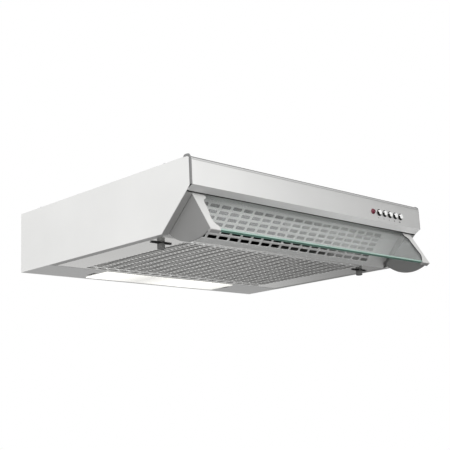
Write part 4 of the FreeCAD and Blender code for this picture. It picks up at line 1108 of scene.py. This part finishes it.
def make_world():
    """White backdrop; a studio that is bright above, greyer below and flagged off at the right."""
    world = bpy.data.worlds.new("studio")
    bpy.context.scene.world = world
    world.use_nodes = True
    tree = world.node_tree
    direction = tree.nodes.new("ShaderNodeTexCoord").outputs["Generated"]
    split = tree.nodes.new("ShaderNodeSeparateXYZ")
    link(tree, direction, split.inputs["Vector"])
    height = math_node(tree, "MULTIPLY_ADD", split.outputs["Z"], 0.5, 0.5)
    levels = [((place + 1) / 2, level) for place, level in STUDIO_LEVELS]
    strength = ramp(tree, height, grey_levels(levels))
    for centre, edge, level in FLAGS:
        toward = tree.nodes.new("ShaderNodeVectorMath")
        toward.operation = "DOT_PRODUCT"
        toward.inputs[1].default_value = Vector(centre).normalized()
        link(tree, direction, toward.inputs[0])
        flag = map_range(tree, toward.outputs["Value"], *edge, 1, level, soft=True)
        strength = math_node(tree, "MULTIPLY", strength, flag)
    studio = tree.nodes["Background"]
    link(tree, strength, studio.inputs["Strength"])
    set_sockets(studio, {"Color": WHITE})
    white = tree.nodes.new("ShaderNodeBackground")
    set_sockets(white, {"Color": WHITE})
    path = tree.nodes.new("ShaderNodeLightPath").outputs
    behind = map_range(tree, split.outputs["Y"], *BACKDROP_EDGE)
    above = math_node(tree, "GREATER_THAN", split.outputs["Z"], 0.0)
    backdrop = math_node(tree, "MULTIPLY", behind, above)
    shown = math_node(tree, "MAXIMUM", path["Is Glossy Ray"], path["Is Transmission Ray"])
    shown = math_node(tree, "MULTIPLY", shown, backdrop)
    shown = math_node(tree, "MAXIMUM", path["Is Camera Ray"], shown)
    mix_shaders(tree, shown, studio, white, "World Output")


def make_floor():
    """Pale floor far below the hood, white to the camera like the backdrop.
    The studio levels already hold the light that comes up from it."""
    finish, tree, shader = finish_nodes("pale floor")
    cloud = noise(tree, space(tree), FLOOR_PATCH)
    link(tree, tint(tree, cloud, *FLOOR_TONES), shader.inputs["Base Color"])
    white = tree.nodes.new("ShaderNodeEmission")
    path = tree.nodes.new("ShaderNodeLightPath").outputs
    mix_shaders(tree, path["Is Camera Ray"], shader, white, "Material Output")
    mesh = bmesh.new()
    mesh.faces.new([mesh.verts.new(row(x * FLOOR_REACH, y * FLOOR_REACH, FLOOR_HEIGHT))
                    for x, y in CORNER_SIGNS])
    data = mesh_data("floor", mesh)
    data.materials.append(finish)
    floor = add_object("floor", data)
    floor.visible_diffuse = floor.visible_glossy = floor.visible_transmission = False


def make_lamps():
    for name, place, aim, size, power in LAMPS:
        lamp = bpy.data.lights.new(name, "AREA")
        lamp.size = size * MM
        lamp.energy = power
        thing = add_object(name, lamp)
        thing.visible_camera = False
        thing.location = row(*place)
        thing.rotation_euler = (row(*aim) - row(*place)).to_track_quat("-Z", "Y").to_euler()


def make_camera():
    camera = bpy.data.cameras.new("camera")
    camera.sensor_fit = "HORIZONTAL"
    camera.sensor_width = SENSOR
    camera.lens = FOCAL_PIXELS / IMAGE_PIXELS * SENSOR
    level = math.cos(CAMERA_ELEVATION)
    back = Vector((math.sin(CAMERA_AZIMUTH) * level, -math.cos(CAMERA_AZIMUTH) * level,
                   math.sin(CAMERA_ELEVATION)))
    right = (-back).cross(Vector((0, 0, 1))).normalized()
    up = right.cross(-back)
    turned = math.cos(CAMERA_ROLL) * right + math.sin(CAMERA_ROLL) * up
    upright = math.cos(CAMERA_ROLL) * up - math.sin(CAMERA_ROLL) * right
    pose = Matrix((turned, upright, back)).transposed().to_4x4()
    pose.translation = row(*CAMERA_PLACE)
    thing = add_object("camera", camera)
    thing.matrix_world = pose
    bpy.context.scene.camera = thing


bpy.context.scene.view_settings.view_transform = "Standard"
dress_nodes()
make_tray()
make_grille()
make_fascia()
make_controls()
make_visor()
make_latches()
make_lens()
make_world()
make_floor()
make_lamps()
make_camera()
